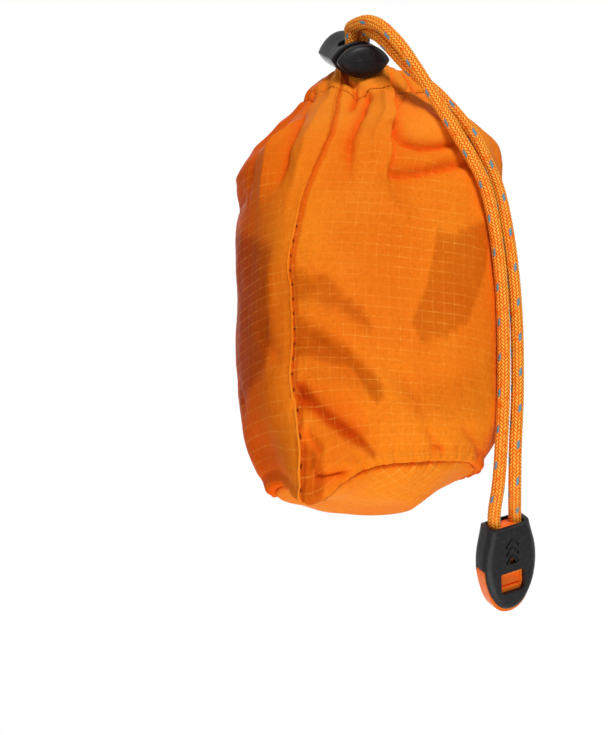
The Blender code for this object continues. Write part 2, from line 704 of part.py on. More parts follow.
def make_whistle(black, orange, cord):
    holder = bpy.data.objects.new("whistle_frame", None)
    bpy.context.collection.objects.link(holder)
    holder.matrix_world = Matrix.Translation(WHISTLE_TOP * MM) @ whistle_frame().to_4x4()
    half = WHISTLE_HALF_THICKNESS

    shell = prism("whistle_shell", whistle_sides(WHISTLE_OUTLINE), -half, half, black, holder)
    edge = shell.modifiers.new("soft_edges", "BEVEL")
    edge.width = 1.0 * MM
    edge.segments = 2
    edge.limit_method = "ANGLE"
    edge.angle_limit = math.radians(50.0)
    socket = prism("socket_cutter", ((-6.0, 3.0), (6.0, 3.0), (6.0, -10.0), (-6.0, -10.0)),
                   -3.0, 3.0, black, holder)
    cut(shell, socket)
    bed = prism("core_bed_cutter",
                ((-5.9, -9.0), (5.9, -9.0), (7.2, -13.6), (12.0, -14.6), (12.0, -36.0),
                 (-12.0, -36.0), (-12.0, -14.6), (-7.2, -13.6)), -2.75, 2.75, black, holder)
    cut(shell, bed)
    window = prism("window_cutter", ((-4.1, -17.0), (4.1, -17.0), (4.1, -21.6), (2.4, -23.3),
                                     (-2.4, -23.3), (-4.1, -21.6)), -9.0, 9.0, black, holder)
    cut(shell, window)
    for index, (top, wide) in enumerate(((-4.6, 2.0), (-7.4, 2.4), (-10.2, 2.8))):
        outline = chevron(top, wide, 1.7, 0.8)
        cut(shell, prism("chevron_cutter_%d" % index, outline, -half - 1.0, -half + 0.4, black, holder))
    cut(shell, prism("port_cutter", ((-1.5, -14.3), (1.5, -14.3), (0.0, -12.6)),
                     -half - 1.0, -2.0, black, holder))

    lower = [row for row in WHISTLE_OUTLINE if row[0] <= -16.0]
    inset = 0.25
    right = [(5.5, -11.0), (6.7, -13.9), (8.7, -14.95)] + [(x - inset, z) for z, x in lower]
    outline = right + [(-x, z) for x, z in reversed(right)]
    core = prism("whistle_core", outline, -2.4, 2.4, orange, holder)
    cut(core, prism("duct_cutter", ((-2.4, -19.0), (2.4, -19.0), (2.4, -36.0), (-2.4, -36.0)),
                    -0.7, 0.7, orange, holder))
    cut(core, prism("slot_cutter", ((-3.3, -19.4), (3.3, -19.4), (3.3, -20.8), (-3.3, -20.8)),
                    -4.0, 4.0, orange, holder))
    cut(core, prism("chamber_cutter", ((-3.2, -13.4), (3.2, -13.4), (3.2, -19.6), (-3.2, -19.6)),
                    -1.5, 1.5, orange, holder))

    knot_rows = ((-1.5, 0.60), (-2.1, 0.86), (-3.0, 1.0), (-8.2, 1.0), (-9.0, 0.86))
    sections = []
    for height, scale in knot_rows:
        section = []
        for step in range(16):
            turn = 2 * math.pi * step / 16
            x = 5.6 * scale * math.copysign(abs(math.cos(turn)) ** 0.6, math.cos(turn))
            y = 2.6 * scale * math.copysign(abs(math.sin(turn)) ** 0.7, math.sin(turn))
            section.append(Vector((x, y, height)))
        sections.append(section)
    loft("whistle_cord_ends", sections, cord, holder)


def make_bundle(finish):
    """The folded bivvy, rolled up: its outer wrap ends in a step down one side."""
    around = 40
    sections = []
    inset = CLOTH + 1.6
    rows = [(2.6, 9.5), (5.8, 5.6), (10.6, 3.4), (15.0, 1.6), (20.0, 0.4), (26.0, 0.0),
            (40.0, 0.0), (68.0, 0.0), (SHOULDER_BOTTOM - 6.0, 0.0)]
    for share, shrink in ((0.0, 0.6), (0.158, 1.8), (0.317, 2.6), (0.443, 3.2), (0.566, 4.0),
                          (0.674, 5.4), (0.737, 7.6), (0.783, 10.6)):
        rows.append((SHOULDER_BOTTOM + share * NECK, shrink))
    for height, shrink in rows:
        row = row_at(max(height, 8.0))
        section = []
        for step in range(around):
            azimuth = 2 * math.pi * step / around
            plain = (height, row[1], row[2], row[3], row[4], row[5], 0.0)
            local = azimuth - SACK_TURN
            wrap = 1.2 * step / around
            total = inset + shrink + wrap
            radius = (abs(math.cos(local) / (plain[3] - total)) ** plain[5]
                      + abs(math.sin(local) / (plain[4] - total)) ** plain[5]) ** (-1.0 / plain[5])
            low = 1.0 - smooth_step(height, 8.0, 33.0)
            lift = BASE_TILT * low * max(0.0, math.cos(azimuth - BASE_TILT_AZIMUTH))
            section.append(Vector((plain[1] + radius * math.cos(azimuth),
                                   plain[2] + radius * math.sin(azimuth), height + lift)))
        sections.append(section)
    loft("bivvy_bundle", sections, finish, smooth=40.0)


def main():
    clear_scene()
    nylon = material("ripstop_nylon", (0.84, 0.26, 0.035), 0.55)
    base_nylon = material("ripstop_nylon_base", (0.90, 0.24, 0.03), 0.55)
    seam_nylon = material("seam_nylon", (0.80, 0.22, 0.03), 0.6)
    paracord = material("orange_paracord", (0.88, 0.24, 0.03), 0.75)
    black = material("black_plastic", (0.02, 0.02, 0.022), 0.45)
    orange = material("orange_plastic", (0.86, 0.20, 0.05), 0.4)
    steel = material("spring_steel", (0.55, 0.55, 0.56), 0.3, 1.0)
    film = material("bivvy_film", (0.80, 0.28, 0.05), 0.35)

    make_sack_body(nylon)
    make_sack_base(base_nylon)
    make_side_seam(seam_nylon)
    make_base_seam(seam_nylon)
    make_hem(nylon)
    tube("drawcord_loop", loop_route(), CORD_RADIUS, paracord, spacing=3.5)
    outer, inner = strand_routes()
    tube("cord_strand_outer", outer, CORD_RADIUS, paracord, spacing=4.5)
    tube("cord_strand_inner", inner, CORD_RADIUS, paracord, spacing=4.5)
    make_lock(black, steel)
    make_whistle(black, orange, paracord)
    make_bundle(film)


main()
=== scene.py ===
"""Looks of a packed emergency sleeping bag: a small orange ripstop stuff sack with its cord lock,
braided cord and whistle. Lengths are in millimetres here and become metres when a mesh is made.
Z is up, X is right and Y points away from the viewer.
"""

import math

import bmesh
import bpy
import numpy as np
from mathutils import Matrix, Vector, noise


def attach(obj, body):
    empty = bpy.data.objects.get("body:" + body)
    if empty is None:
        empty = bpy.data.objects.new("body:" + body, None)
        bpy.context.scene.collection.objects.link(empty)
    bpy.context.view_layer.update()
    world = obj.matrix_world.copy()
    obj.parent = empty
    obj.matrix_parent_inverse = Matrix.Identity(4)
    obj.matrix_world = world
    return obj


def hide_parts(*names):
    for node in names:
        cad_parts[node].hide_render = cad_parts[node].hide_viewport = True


MM = 0.001

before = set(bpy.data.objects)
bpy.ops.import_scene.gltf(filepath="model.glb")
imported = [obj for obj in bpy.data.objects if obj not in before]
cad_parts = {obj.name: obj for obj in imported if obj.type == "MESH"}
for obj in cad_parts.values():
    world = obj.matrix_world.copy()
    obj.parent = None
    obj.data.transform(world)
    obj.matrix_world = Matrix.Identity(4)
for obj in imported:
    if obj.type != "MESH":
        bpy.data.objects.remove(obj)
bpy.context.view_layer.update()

# Camera, below the sack's middle and looking up at it.
VIEW_RISE = math.radians(15.0)
VIEW_DISTANCE = 850.0
VIEW_CENTRE = Vector((-20.0, 5.46, 46.62))
FOCAL_LENGTH = 130.1

# Sack, bottom to top: height, centre x and y, half widths, squareness of the outline.
SACK_ROWS = (
    (8.0, 1.5, 0.0, 32.0, 29.4, 2.15),
    (11.6, 0.9, 0.0, 34.6, 31.0, 2.25),
    (18.0, 0.5, 0.0, 37.6, 32.6, 2.45),
    (26.0, 0.0, 0.0, 39.6, 33.6, 2.65),
    (40.0, -0.4, 0.0, 40.8, 34.2, 2.80),
    (68.0, -0.4, 0.0, 41.1, 34.5, 2.80),
    (94.0, -0.3, 0.0, 41.4, 34.5, 2.80),
    (108.0, 0.2, 0.0, 41.4, 33.2, 2.70),
    (113.6, 2.3, 0.0, 40.1, 31.6, 2.55),
    (119.0, 4.6, 0.0, 37.4, 28.6, 2.45),
    (123.8, 4.5, 0.2, 33.6, 25.6, 2.35),
    (127.8, 3.9, 0.4, 30.2, 22.8, 2.20),
    (131.0, 2.4, 0.5, 27.0, 20.9, 2.10),
    (133.6, 1.2, 0.4, 23.6, 19.0, 2.05),
    (135.8, 0.9, 0.3, 21.6, 18.1, 2.00),
    (138.4, 0.7, 0.2, 19.0, 16.7, 2.00),
    (140.8, 0.6, 0.1, 16.4, 15.1, 2.00),
    (142.2, 0.6, 0.0, 14.2, 13.4, 2.00),
    (142.7, 0.6, 0.0, 12.2, 11.6, 2.00),
    (142.0, 0.6, 0.0, 10.2, 9.6, 2.00),
    (139.4, 0.7, 0.0, 8.4, 7.6, 2.00),
    (135.6, 0.8, 0.0, 6.6, 5.6, 2.00),
    (131.6, 0.8, 0.0, 4.2, 3.4, 2.00),
    (129.6, 0.8, 0.0, 1.4, 1.2, 2.00),
)
HEM_ROW = 13
HEM_LEVEL = 134.0
HEM_ROW_RISE = 1.6
MOUTH_ROW = 17
THROAT_ROWS = (18.5, 20.5)
SACK_TURN = math.radians(20.0)
EAR_AZIMUTH = math.radians(237.5)
EAR_SPREAD = math.radians(16.5)
EAR_SPREAD_LEFT = math.radians(20.0)
EAR_DROP = 10.4
EAR_PUSH = 4.2
BASE_LEVEL = 8.0
BASE_TILT = 4.2
BASE_TILT_AZIMUTH = math.radians(25.0)
BASE_FLAT_RADIUS = 13.0
BASE_BIAS = 34.0
MM_PER_DEGREE = 0.663
AROUND = 640
ROW_STEPS = 12

# Small waves of gathered and puckered cloth: strength, turns and shift of each.
SEAM_PUCKER = ((1.0, 1.55, 0.0), (0.6, 2.7, 1.0), (0.5, 0.83, 0.0))
BASE_SEAM_WAVE = ((1.0, 0.62, 0.0), (0.7, 1.07, 0.6), (0.5, 1.71, 2.0))
BASE_PUCKER = ((1.0, 26, 0.0), (0.6, 41, 1.0))
HEM_GATHERS = ((1.0, 17, 0.4), (0.8, 23, 1.9), (0.5, 31, 0.7))

# Ripstop grid.
GRID_ACROSS = 3.65
GRID_ALONG = 3.30
YARN_WIDTH = 0.27
WEAVE = 0.32

# Tints laid over the cloth's own colour: painted glow, painted shade and painted glints, and the contents
# seen through it.
NECK_PAINTED_GLOW = (1.0, 0.340, 0.032)
SIDE_PAINTED_SHADE = (0.84, 0.092, 0.001)
FOLD_PAINTED_SHADE = (0.80, 0.072, 0.002)
CONTENTS_TINT = (0.58, 0.42, 0.22)
SEAM_PAINTED_SHADE = (0.48, 0.035, 0.001)
CROSSING_PAINTED_GLINT = (1.0, 0.60, 0.16)

# Cord and braid.
CORD_RADIUS = 2.0
CORD_STEPS = 50
BRAID_COLUMNS = 10
BRAID_SINK = 0.17
BRAID_RISE = 0.30
GRAIN = 1.12
GRAIN_LEAN = 0.95
FLECK_PERIOD = 10
FLECKS = ((1, 0), (4, 4), (7, 7))

# Ring of the hem's channel.
MOUTH_X = 0.8
RING_RADIUS_X = 12.8
RING_RADIUS_Y = 11.8
RING_HEIGHT = 138.2
RING_TILT = 1.0
RING_RISE_LEFT = 0.6

# Lock.
LOCK_CENTRE = Vector((-5.4, -15.0, 145.0))
LOCK_AXIS = Vector((0.335, -0.800, -0.497))
LOCK_WIDE = Vector((0.940, 0.295, 0.1693))
LOCK_HALF_WIDTH = 9.0
LOCK_HALF_HEIGHT = 5.5
LOCK_SLOT_Y = -1.0
LOCK_SLOT_HALF_LENGTH = 2.4
LOCK_SLOT_HALF_WIDTH = 5.5
LOCK_TRAVEL = 3.0
LOCK_CAVITY_END = 9.3
LENS_STEPS = 72
STRAND_SIDES = (-1.0, 3.25)

# Whistle: heights and half widths of its right side, top to bottom.
WHISTLE_TOP = Vector((42.2, 6.0, -3.4))
WHISTLE_UP = Vector((-0.050, -0.642, 0.765))
WHISTLE_WIDE = Vector((0.881, 0.332, 0.3365))
WHISTLE_STRAND = 3.75
WHISTLE_OUTLINE = ((0, 7.4), (-3.5, 8.2), (-8, 9.3), (-12, 9.75), (-16, 9.65), (-20, 9.0), (-23.6, 7.8),
                   (-26.4, 6.3), (-28.3, 4.9), (-29.6, 3.3), (-30.3, 1.6), (-30.5, 0.4))
WHISTLE_LENGTH = 30.5
WHISTLE_HALF_THICKNESS = 4.3
WHISTLE_EDGE = 2.9
WHISTLE_MEAN_WIDTH = 9.3
CORE_HALF_THICKNESS = 2.4
CORE_BED = 2.75

# Rounded edges go where two faces meet at more than this angle.
EDGE_ANGLE = math.radians(32.0)

# Stage.
FLOOR_LEVEL = -600.0
FLOOR_HALF_SIZE = 3000.0
FLOOR_PALER = 0.45
WORLD_LIGHT = 0.24
LIGHT_TARGET = Vector((0.0, 0.0, 0.07))
# Name, place and width in metres, power in watts.
LIGHTS = (
    ("key", (0.24, -0.86, 0.54), 0.32, 6.6),
    ("fill", (-0.80, -0.50, 0.12), 0.60, 0.9),
    ("under", (0.02, -0.14, -0.45), 0.36, 1.45),
    ("back", (-0.10, 0.85, 0.45), 0.60, 3.0),
)


class Nodes:
    """A short way to write a material's nodes. Colours are three numbers."""

    def __init__(self, name):
        self.made = bpy.data.materials.new(name)
        self.made.use_nodes = True
        self.tree = self.made.node_tree
        self.shader = self.tree.nodes["Principled BSDF"]
        self.place = self.add("ShaderNodeTexCoord").outputs["Object"]

    def put(self, socket, value):
        if isinstance(value, bpy.types.NodeSocket):
            self.tree.links.new(value, socket)
        elif isinstance(value, tuple):
            socket.default_value = (*value, 1.0)
        else:
            socket.default_value = value

    def add(self, kind, inputs=None, **settings):
        node = self.tree.nodes.new(kind)
        for name, value in settings.items():
            setattr(node, name, value)
        for name, value in (inputs or {}).items():
            self.put(node.inputs[name], value)
        return node

    def math(self, operation, *values, clamp=False):
        node = self.add("ShaderNodeMath", dict(enumerate(values)), operation=operation, use_clamp=clamp)
        return node.outputs[0]

    def times(self, first, *others, clamp=False):
        for value in others[:-1]:
            first = self.math("MULTIPLY", first, value)
        return self.math("MULTIPLY", first, others[-1], clamp=clamp)

    def plus(self, first, second):
        return self.math("ADD", first, second)

    def minus(self, first, second, clamp=False):
        return self.math("SUBTRACT", first, second, clamp=clamp)

    def sine(self, value, turns):
        return self.math("SINE", self.times(value, turns))

    def mix(self, share, first, second, blend="MIX"):
        node = self.add("ShaderNodeMix", data_type="RGBA", blend_type=blend, clamp_factor=True)
        for socket, value in zip((node.inputs[0], node.inputs[6], node.inputs[7]), (share, first, second)):
            self.put(socket, value)
        return node.outputs[2]

    def noise(self, scale, detail=2.0, roughness=0.5):
        inputs = {"Vector": self.place, "Scale": scale, "Detail": detail, "Roughness": roughness}
        return self.add("ShaderNodeTexNoise", inputs).outputs["Fac"]

    def ramp(self, value, low, high):
        """0 below low, 1 above high, smooth between."""
        inputs = {"Value": value, "From Min": low, "From Max": high}
        return self.add("ShaderNodeMapRange", inputs, interpolation_type="SMOOTHSTEP").outputs["Result"]

    def uv(self, name):
        split = self.add("ShaderNodeSeparateXYZ", {0: self.add("ShaderNodeUVMap", uv_map=name).outputs[0]})
        return split.outputs[0], split.outputs[1]

    def attribute(self, name):
        return self.add("ShaderNodeAttribute", attribute_name=name).outputs["Fac"]

    def bump(self, height, distance, strength, under=None):
        inputs = {"Strength": strength, "Distance": distance * MM, "Height": height}
        node = self.add("ShaderNodeBump", inputs)
        if under is not None:
            self.put(node.inputs["Normal"], under)
        return node.outputs[0]

    def finish(self, colour, roughness, normal=None, **plain):
        self.put(self.shader.inputs["Base Color"], colour)
        self.put(self.shader.inputs["Roughness"], roughness)
        if normal is not None:
            self.put(self.shader.inputs["Normal"], normal)
        for name, value in plain.items():
            self.put(self.shader.inputs[name.replace("_", " ")], value)
        return self.made


def grid_lines(nodes, value, spacing):
    """Thin lines at every spacing in one direction of the cloth."""
    part = nodes.math("FRACT", nodes.math("DIVIDE", value, spacing))
    distance = nodes.math("ABSOLUTE", nodes.minus(part, 0.5))
    width = YARN_WIDTH / spacing
    return nodes.ramp(distance, 0.5 - width, 0.5 - 0.30 * width)


def ripstop_material(name, body, lit, shade, line, lines_shown):
    """Thin nylon with a grid of thicker yarns, what it holds seen through it, and painted glow, shade and
    glints in its colour.
    """
    nodes = Nodes(name)
    across, along = nodes.uv("cloth")
    vertical = grid_lines(nodes, across, GRID_ACROSS)
    horizontal = grid_lines(nodes, along, GRID_ALONG)
    both = nodes.math("MAXIMUM", nodes.times(vertical, 0.62), horizontal)
    broken = nodes.ramp(nodes.noise(480.0, 3.0, 0.65), 0.38, 0.62)
    patchy = nodes.ramp(nodes.noise(42.0), 0.34, 0.66)
    thinned = nodes.minus(1.0, nodes.times(nodes.ramp(along, 88.0, 112.0), 0.45))
    shown = nodes.times(nodes.plus(nodes.times(broken, 0.75), 0.22),
                        nodes.plus(nodes.times(patchy, 0.75), 0.45), thinned)
    lines = nodes.times(both, shown, lines_shown, clamp=True)
    crossing = nodes.times(vertical, horizontal, broken)

    fine = nodes.noise(760.0, 3.0, 0.75)
    colour = nodes.mix(nodes.ramp(nodes.noise(24.0, 3.0, 0.55), 0.35, 0.68), body, lit)
    colour = nodes.mix(nodes.times(nodes.ramp(fine, 0.40, 0.70), 0.30), colour, shade)
    # Painted glow: the cloth turns lighter and yellower towards the neck.
    colour = nodes.mix(nodes.times(nodes.ramp(along, 96.0, 118.0), 0.45), colour, NECK_PAINTED_GLOW)
    # Painted shade: the sides and back, turned from the lights, are darker and redder.
    colour = nodes.mix(nodes.times(nodes.attribute("painted_side_shade"), 0.85), colour, SIDE_PAINTED_SHADE)

    # Painted red shade in the folds where nothing dark lies behind, then the contents, then the painted
    # shade at the seams.
    dark = nodes.attribute("contents")
    bare = nodes.minus(0.70, nodes.times(dark, 0.80), clamp=True)
    colour = nodes.mix(nodes.times(nodes.attribute("fold_shade"), bare), colour, FOLD_PAINTED_SHADE)
    spots = nodes.times(nodes.ramp(nodes.noise(170.0, 5.0, 0.72), 0.34, 0.64), 0.62)
    grain = nodes.times(nodes.ramp(nodes.noise(330.0, 3.0, 0.6), 0.3, 0.7), 0.32)
    lighter = nodes.times(nodes.attribute("mottle"), nodes.plus(spots, grain))
    colour = nodes.mix(nodes.times(dark, nodes.minus(1.0, lighter)), colour, CONTENTS_TINT, "MULTIPLY")
    # Painted shade at the seams, in the hem's groove and in the dark folds.
    seam = nodes.times(nodes.attribute("seam_shade"), 0.85, clamp=True)
    colour = nodes.mix(seam, colour, SEAM_PAINTED_SHADE)
    colour = nodes.mix(lines, colour, line)
    # Painted glint where the grid's yarns cross.
    colour = nodes.mix(nodes.times(crossing, 0.6 * lines_shown), colour, CROSSING_PAINTED_GLINT)

    turns = 2 * math.pi / WEAVE
    normal = nodes.bump(nodes.times(nodes.sine(across, turns), nodes.sine(along, turns)), 0.02, 0.5)
    normal = nodes.bump(nodes.noise(210.0, 4.0, 0.62), 0.44, 0.7, normal)
    normal = nodes.bump(both, 0.05, 0.6, normal)
    rough = nodes.plus(nodes.times(fine, 0.12), 0.46)
    return nodes.finish(colour, rough, normal, Specular_IOR_Level=0.015)


def cord_material():
    """Braided nylon: columns of leaning grains, with painted shade between them and a painted highlight on
    their crowns, and grey-blue reflective yarns here and there.
    """
    nodes = Nodes("braided_cord")
    columns, along = nodes.uv("braid")
    column = nodes.math("FLOOR", columns)
    aside = nodes.math("FRACT", columns)
    odd = nodes.math("FLOORED_MODULO", column, 2.0)
    lean = nodes.times(nodes.minus(1.0, nodes.times(odd, 2.0)), GRAIN_LEAN)
    phase = nodes.plus(nodes.math("DIVIDE", along, GRAIN), nodes.times(lean, nodes.minus(aside, 0.5)))
    phase = nodes.plus(phase, nodes.times(odd, 0.5))
    grain = nodes.math("FLOOR", phase)
    part = nodes.math("FRACT", phase)
    bulge = nodes.sine(aside, math.pi)
    crown = nodes.times(nodes.math("POWER", bulge, 0.5), nodes.sine(part, math.pi))
    # Painted shade in the gaps between the grains, full colour on their crowns.
    colour = nodes.mix(nodes.ramp(crown, 0.05, 0.48), (0.78, 0.056, 0.0), (1.0, 0.19, 0.003))
    # Painted highlight on the crowns.
    painted_shine = nodes.times(nodes.ramp(crown, 0.34, 0.70), nodes.ramp(nodes.noise(520.0, 2.0, 0.6), 0.28, 0.50))
    colour = nodes.mix(nodes.times(painted_shine, 0.95), colour, (1.0, 0.55, 0.06))

    own_column = nodes.math("FLOORED_MODULO", column, float(BRAID_COLUMNS))
    own_grain = nodes.math("FLOORED_MODULO", grain, float(FLECK_PERIOD))
    flecks = 0.0
    for fleck_column, fleck_grain in FLECKS:
        across_hit = nodes.math("COMPARE", own_column, float(fleck_column), 0.3)
        along_hit = nodes.math("COMPARE", own_grain, fleck_grain + 0.5, 0.6)
        flecks = nodes.math("MAXIMUM", flecks, nodes.times(across_hit, along_hit))
    colour = nodes.mix(nodes.times(flecks, nodes.ramp(bulge, 0.05, 0.3)), colour, (0.13, 0.33, 0.40))
    normal = nodes.bump(nodes.sine(part, 22.0), 0.03, 0.6)
    return nodes.finish(colour, 0.50, normal, Specular_IOR_Level=0.16)


def plastic_material(name, colour, light, rough, grain_scale, grain):
    nodes = Nodes(name)
    pores = nodes.noise(grain_scale, 3.0, 0.7)
    wear = nodes.ramp(nodes.noise(140.0, 3.0, 0.6), 0.35, 0.75)
    tint = nodes.mix(nodes.times(nodes.ramp(pores, 0.45, 0.75), 0.5), colour, light)
    roughness = nodes.plus(nodes.times(wear, 0.10), rough)
    return nodes.finish(tint, roughness, nodes.bump(pores, grain, 0.7), Specular_IOR_Level=0.22)


def steel_material():
    nodes = Nodes("drawn_wire")
    streak = nodes.noise(1500.0)
    rough = nodes.plus(nodes.times(streak, 0.2), 0.22)
    return nodes.finish((0.56, 0.56, 0.57), rough, nodes.bump(streak, 0.01, 0.4), Metallic=1.0)


def film_material():
    nodes = Nodes("folded_film")
    creases = nodes.noise(160.0, 4.0, 0.7)
    colour = nodes.mix(nodes.ramp(creases, 0.4, 0.7), (0.74, 0.23, 0.03), (0.88, 0.36, 0.08))
    return nodes.finish(colour, 0.35, nodes.bump(creases, 0.5, 0.8))


def thread_material(name, colour):
    nodes = Nodes(name)
    twist = nodes.noise(1600.0)
    tint = nodes.mix(nodes.ramp(twist, 0.35, 0.7), colour, tuple(0.7 * part for part in colour))
    return nodes.finish(tint, 0.8, nodes.bump(twist, 0.03, 0.5), Specular_IOR_Level=0.08)


def set_material(node, finish):
    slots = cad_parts[node].data.materials
    slots.clear()
    slots.append(finish)


def make_mesh(name, points, faces, finish, uv_name=None, uvs=None, values=None, smooth=True):
    """A mesh from millimetre points. uvs holds one pair per face corner, values one list per name."""
    mesh = bpy.data.meshes.new(name)
    mesh.from_pydata((np.asarray(points, float) * MM).tolist(), [], faces)
    if uv_name:
        layer = mesh.uv_layers.new(name=uv_name)
        layer.data.foreach_set("uv", np.asarray(uvs, np.float32).ravel())
    for label, numbers in (values or {}).items():
        attribute = mesh.attributes.new(label, "FLOAT", "POINT")
        attribute.data.foreach_set("value", np.asarray(numbers, np.float32).ravel())
    if smooth:
        mesh.shade_smooth()
    mesh.materials.append(finish)
    thing = bpy.data.objects.new(name, mesh)
    bpy.context.scene.collection.objects.link(thing)
    return thing


def ring_faces(rows, around):
    """Quads between successive closed rings of points, and each corner's row and step."""
    faces, corners = [], []
    for row in range(rows - 1):
        for step in range(around):
            after = (step + 1) % around
            faces.append((row * around + step, row * around + after,
                          (row + 1) * around + after, (row + 1) * around + step))
            corners.append(((row, step), (row, step + 1), (row + 1, step + 1), (row + 1, step)))
    return faces, corners


def end_faces(rows, around):
    """The two faces that close a tube of rings."""
    last = (rows - 1) * around
    return [tuple(reversed(range(around))), tuple(range(last, last + around))]


def bell(distance, spread):
    return np.exp(-(distance / spread) ** 2)


def fading(distance, reach):
    return np.exp(-distance / reach)


def waves(value, parts):
    return sum(strength * np.sin(value * turns + shift) for strength, turns, shift in parts)


def smooth_step(value, low, high):
    t = np.clip((np.asarray(value, float) - low) / (high - low), 0.0, 1.0)
    return t * t * (3 - 2 * t)


def turn_from(azimuth, middle):
    return (azimuth - middle + math.pi) % (2 * math.pi) - math.pi


def circle(radius, azimuth):
    return np.stack([radius * np.cos(azimuth), radius * np.sin(azimuth), 0 * azimuth], axis=-1)


def smooth_curve(points, steps):
    """The points with smooth ones between them, given as vectors or as rows of numbers."""
    ends = [2 * points[0] - points[1], *points, 2 * points[-1] - points[-2]]
    made = []
    for index in range(1, len(ends) - 2):
        before, start, stop, after = ends[index - 1:index + 3]
        for step in range(steps):
            t = step / steps
            made.append(0.5 * (2 * start + (stop - before) * t
                               + (2 * before - 5 * start + 4 * stop - after) * t * t
                               + (3 * start - before - 3 * stop + after) * t ** 3))
    made.append(points[-1])
    return made


def smooth_path(points, steps):
    return smooth_curve([Vector(point) for point in points], steps)


def resample(path, spacing):
    """Evenly spaced points along a path."""
    lengths = [0.0]
    for start, stop in zip(path, path[1:]):
        lengths.append(lengths[-1] + (stop - start).length)
    count = max(2, round(lengths[-1] / spacing))
    result = []
    index = 0
    for step in range(count + 1):
        wanted = lengths[-1] * step / count
        while index < len(path) - 2 and lengths[index + 1] < wanted:
            index += 1
        part = (wanted - lengths[index]) / (lengths[index + 1] - lengths[index])
        result.append(path[index].lerp(path[index + 1], min(max(part, 0.0), 1.0)))
    return result


def sack_grid():
    """Points of the plain sack, as rows by steps round it, with azimuths, heights and row numbers."""
    rows = np.array(smooth_curve(np.array(SACK_ROWS), ROW_STEPS))
    azimuth = 2 * math.pi * np.arange(AROUND) / AROUND
    local = azimuth - SACK_TURN
    height, centre_x, centre_y, half_x, half_y, power = rows.T[:, :, None]
    radius = (np.abs(np.cos(local) / half_x) ** power
              + np.abs(np.sin(local) / half_y) ** power) ** (-1.0 / power)
    height = height + 0 * azimuth
    row_number = np.arange(len(rows))[:, None] / ROW_STEPS
    low = np.where(row_number > 8, 0.0, 1.0 - smooth_step(height, BASE_LEVEL, 33.0))
    turn = turn_from(azimuth, EAR_AZIMUTH)
    ear = np.where(turn > 0, bell(turn, EAR_SPREAD), bell(turn, EAR_SPREAD_LEFT))
    radius = radius + EAR_PUSH * bell(turn, EAR_SPREAD) * low
    drop = EAR_DROP * ear * low ** 1.6 - BASE_TILT * np.cos(azimuth - BASE_TILT_AZIMUTH) * low
    points = np.stack([centre_x + radius * np.cos(azimuth), centre_y + radius * np.sin(azimuth),
                       height - drop], axis=-1)
    return points, np.degrees(azimuth) + 0 * height, height, row_number + 0 * height


def grid_normals(points):
    around = np.roll(points, -1, axis=1) - np.roll(points, 1, axis=1)
    up = np.empty_like(points)
    up[1:-1] = points[2:] - points[:-2]
    up[0] = points[1] - points[0]
    up[-1] = points[-1] - points[-2]
    normal = np.cross(around, up)
    return normal / np.maximum(np.linalg.norm(normal, axis=-1, keepdims=True), 1e-9)


def flat_line(line):
    return [(azimuth * MM_PER_DEGREE, level) for azimuth, level in line]


def crease_field(across, height, line):
    """Distance to a line of (degrees, height) points, which side, and how far along it from 0 to 1."""
    points = flat_line(line)
    best = np.full(across.shape, 1e9)
    side = np.zeros(across.shape)
    along = np.zeros(across.shape)
    lengths = [math.dist(a, b) for a, b in zip(points, points[1:])]
    total = sum(lengths)
    run = 0.0
    for (ax, ay), (bx, by), length in zip(points, points[1:], lengths):
        dx, dy = bx - ax, by - ay
        t = np.clip(((across - ax) * dx + (height - ay) * dy) / (length * length), 0.0, 1.0)
        px, py = across - (ax + t * dx), height - (ay + t * dy)
        distance = np.hypot(px, py)
        nearer = distance < best
        best = np.where(nearer, distance, best)
        side = np.where(nearer, np.sign(dx * py - dy * px), side)
        along = np.where(nearer, (run + t * length) / total, along)
        run += length
    return best, side, along


def ends_fade(along, start, stop):
    """1 in the middle of a line, 0 at its ends."""
    first = smooth_step(along, 0.0, start) if start else 1.0
    last = 1.0 - smooth_step(along, 1.0 - stop, 1.0) if stop else 1.0
    return first * last


def crease(distance, side, before, after):
    """A fold's section: a narrow rounded crest that falls off on each side by its own width."""
    width = np.where(side > 0, after, before)
    soft = 0.16 * width
    return np.exp(-(np.sqrt(distance ** 2 + soft ** 2) - soft) / (0.68 * width))


def polygon_share(across, height, outline, soft):
    """1 inside an outline, 0 outside, with a soft edge."""
    points = flat_line(outline)
    inside = np.zeros(across.shape, bool)
    distance = np.full(across.shape, 1e9)
    for (ax, ay), (bx, by) in zip(points, points[1:] + points[:1]):
        dx, dy = bx - ax, by - ay
        t = np.clip(((across - ax) * dx + (height - ay) * dy) / (dx * dx + dy * dy), 0.0, 1.0)
        distance = np.minimum(distance, np.hypot(across - ax - t * dx, height - ay - t * dy))
        if ay != by:
            inside ^= ((ay > height) != (by > height)) & (across < dx * (height - ay) / dy + ax)
    return smooth_step(np.where(inside, distance, -distance), -soft, soft)


def lumps(points, scale, seed, tall=1.0):
    """Smooth noise at each point."""
    flat = (points * (1.0, 1.0, tall)).reshape(-1, 3) / scale
    shift = Vector((seed * 7.31, seed * 3.77, seed * 5.13))
    made = np.array([noise.noise(Vector(point) + shift) for point in flat.tolist()])
    return made.reshape(points.shape[:-1])


def along_line(line, wanted, given=0):
    """A line's height at the wanted azimuths, or with given 1 its azimuth at the wanted heights."""
    known = sorted((point[given], point[1 - given]) for point in line)
    return np.interp(wanted, *zip(*known))


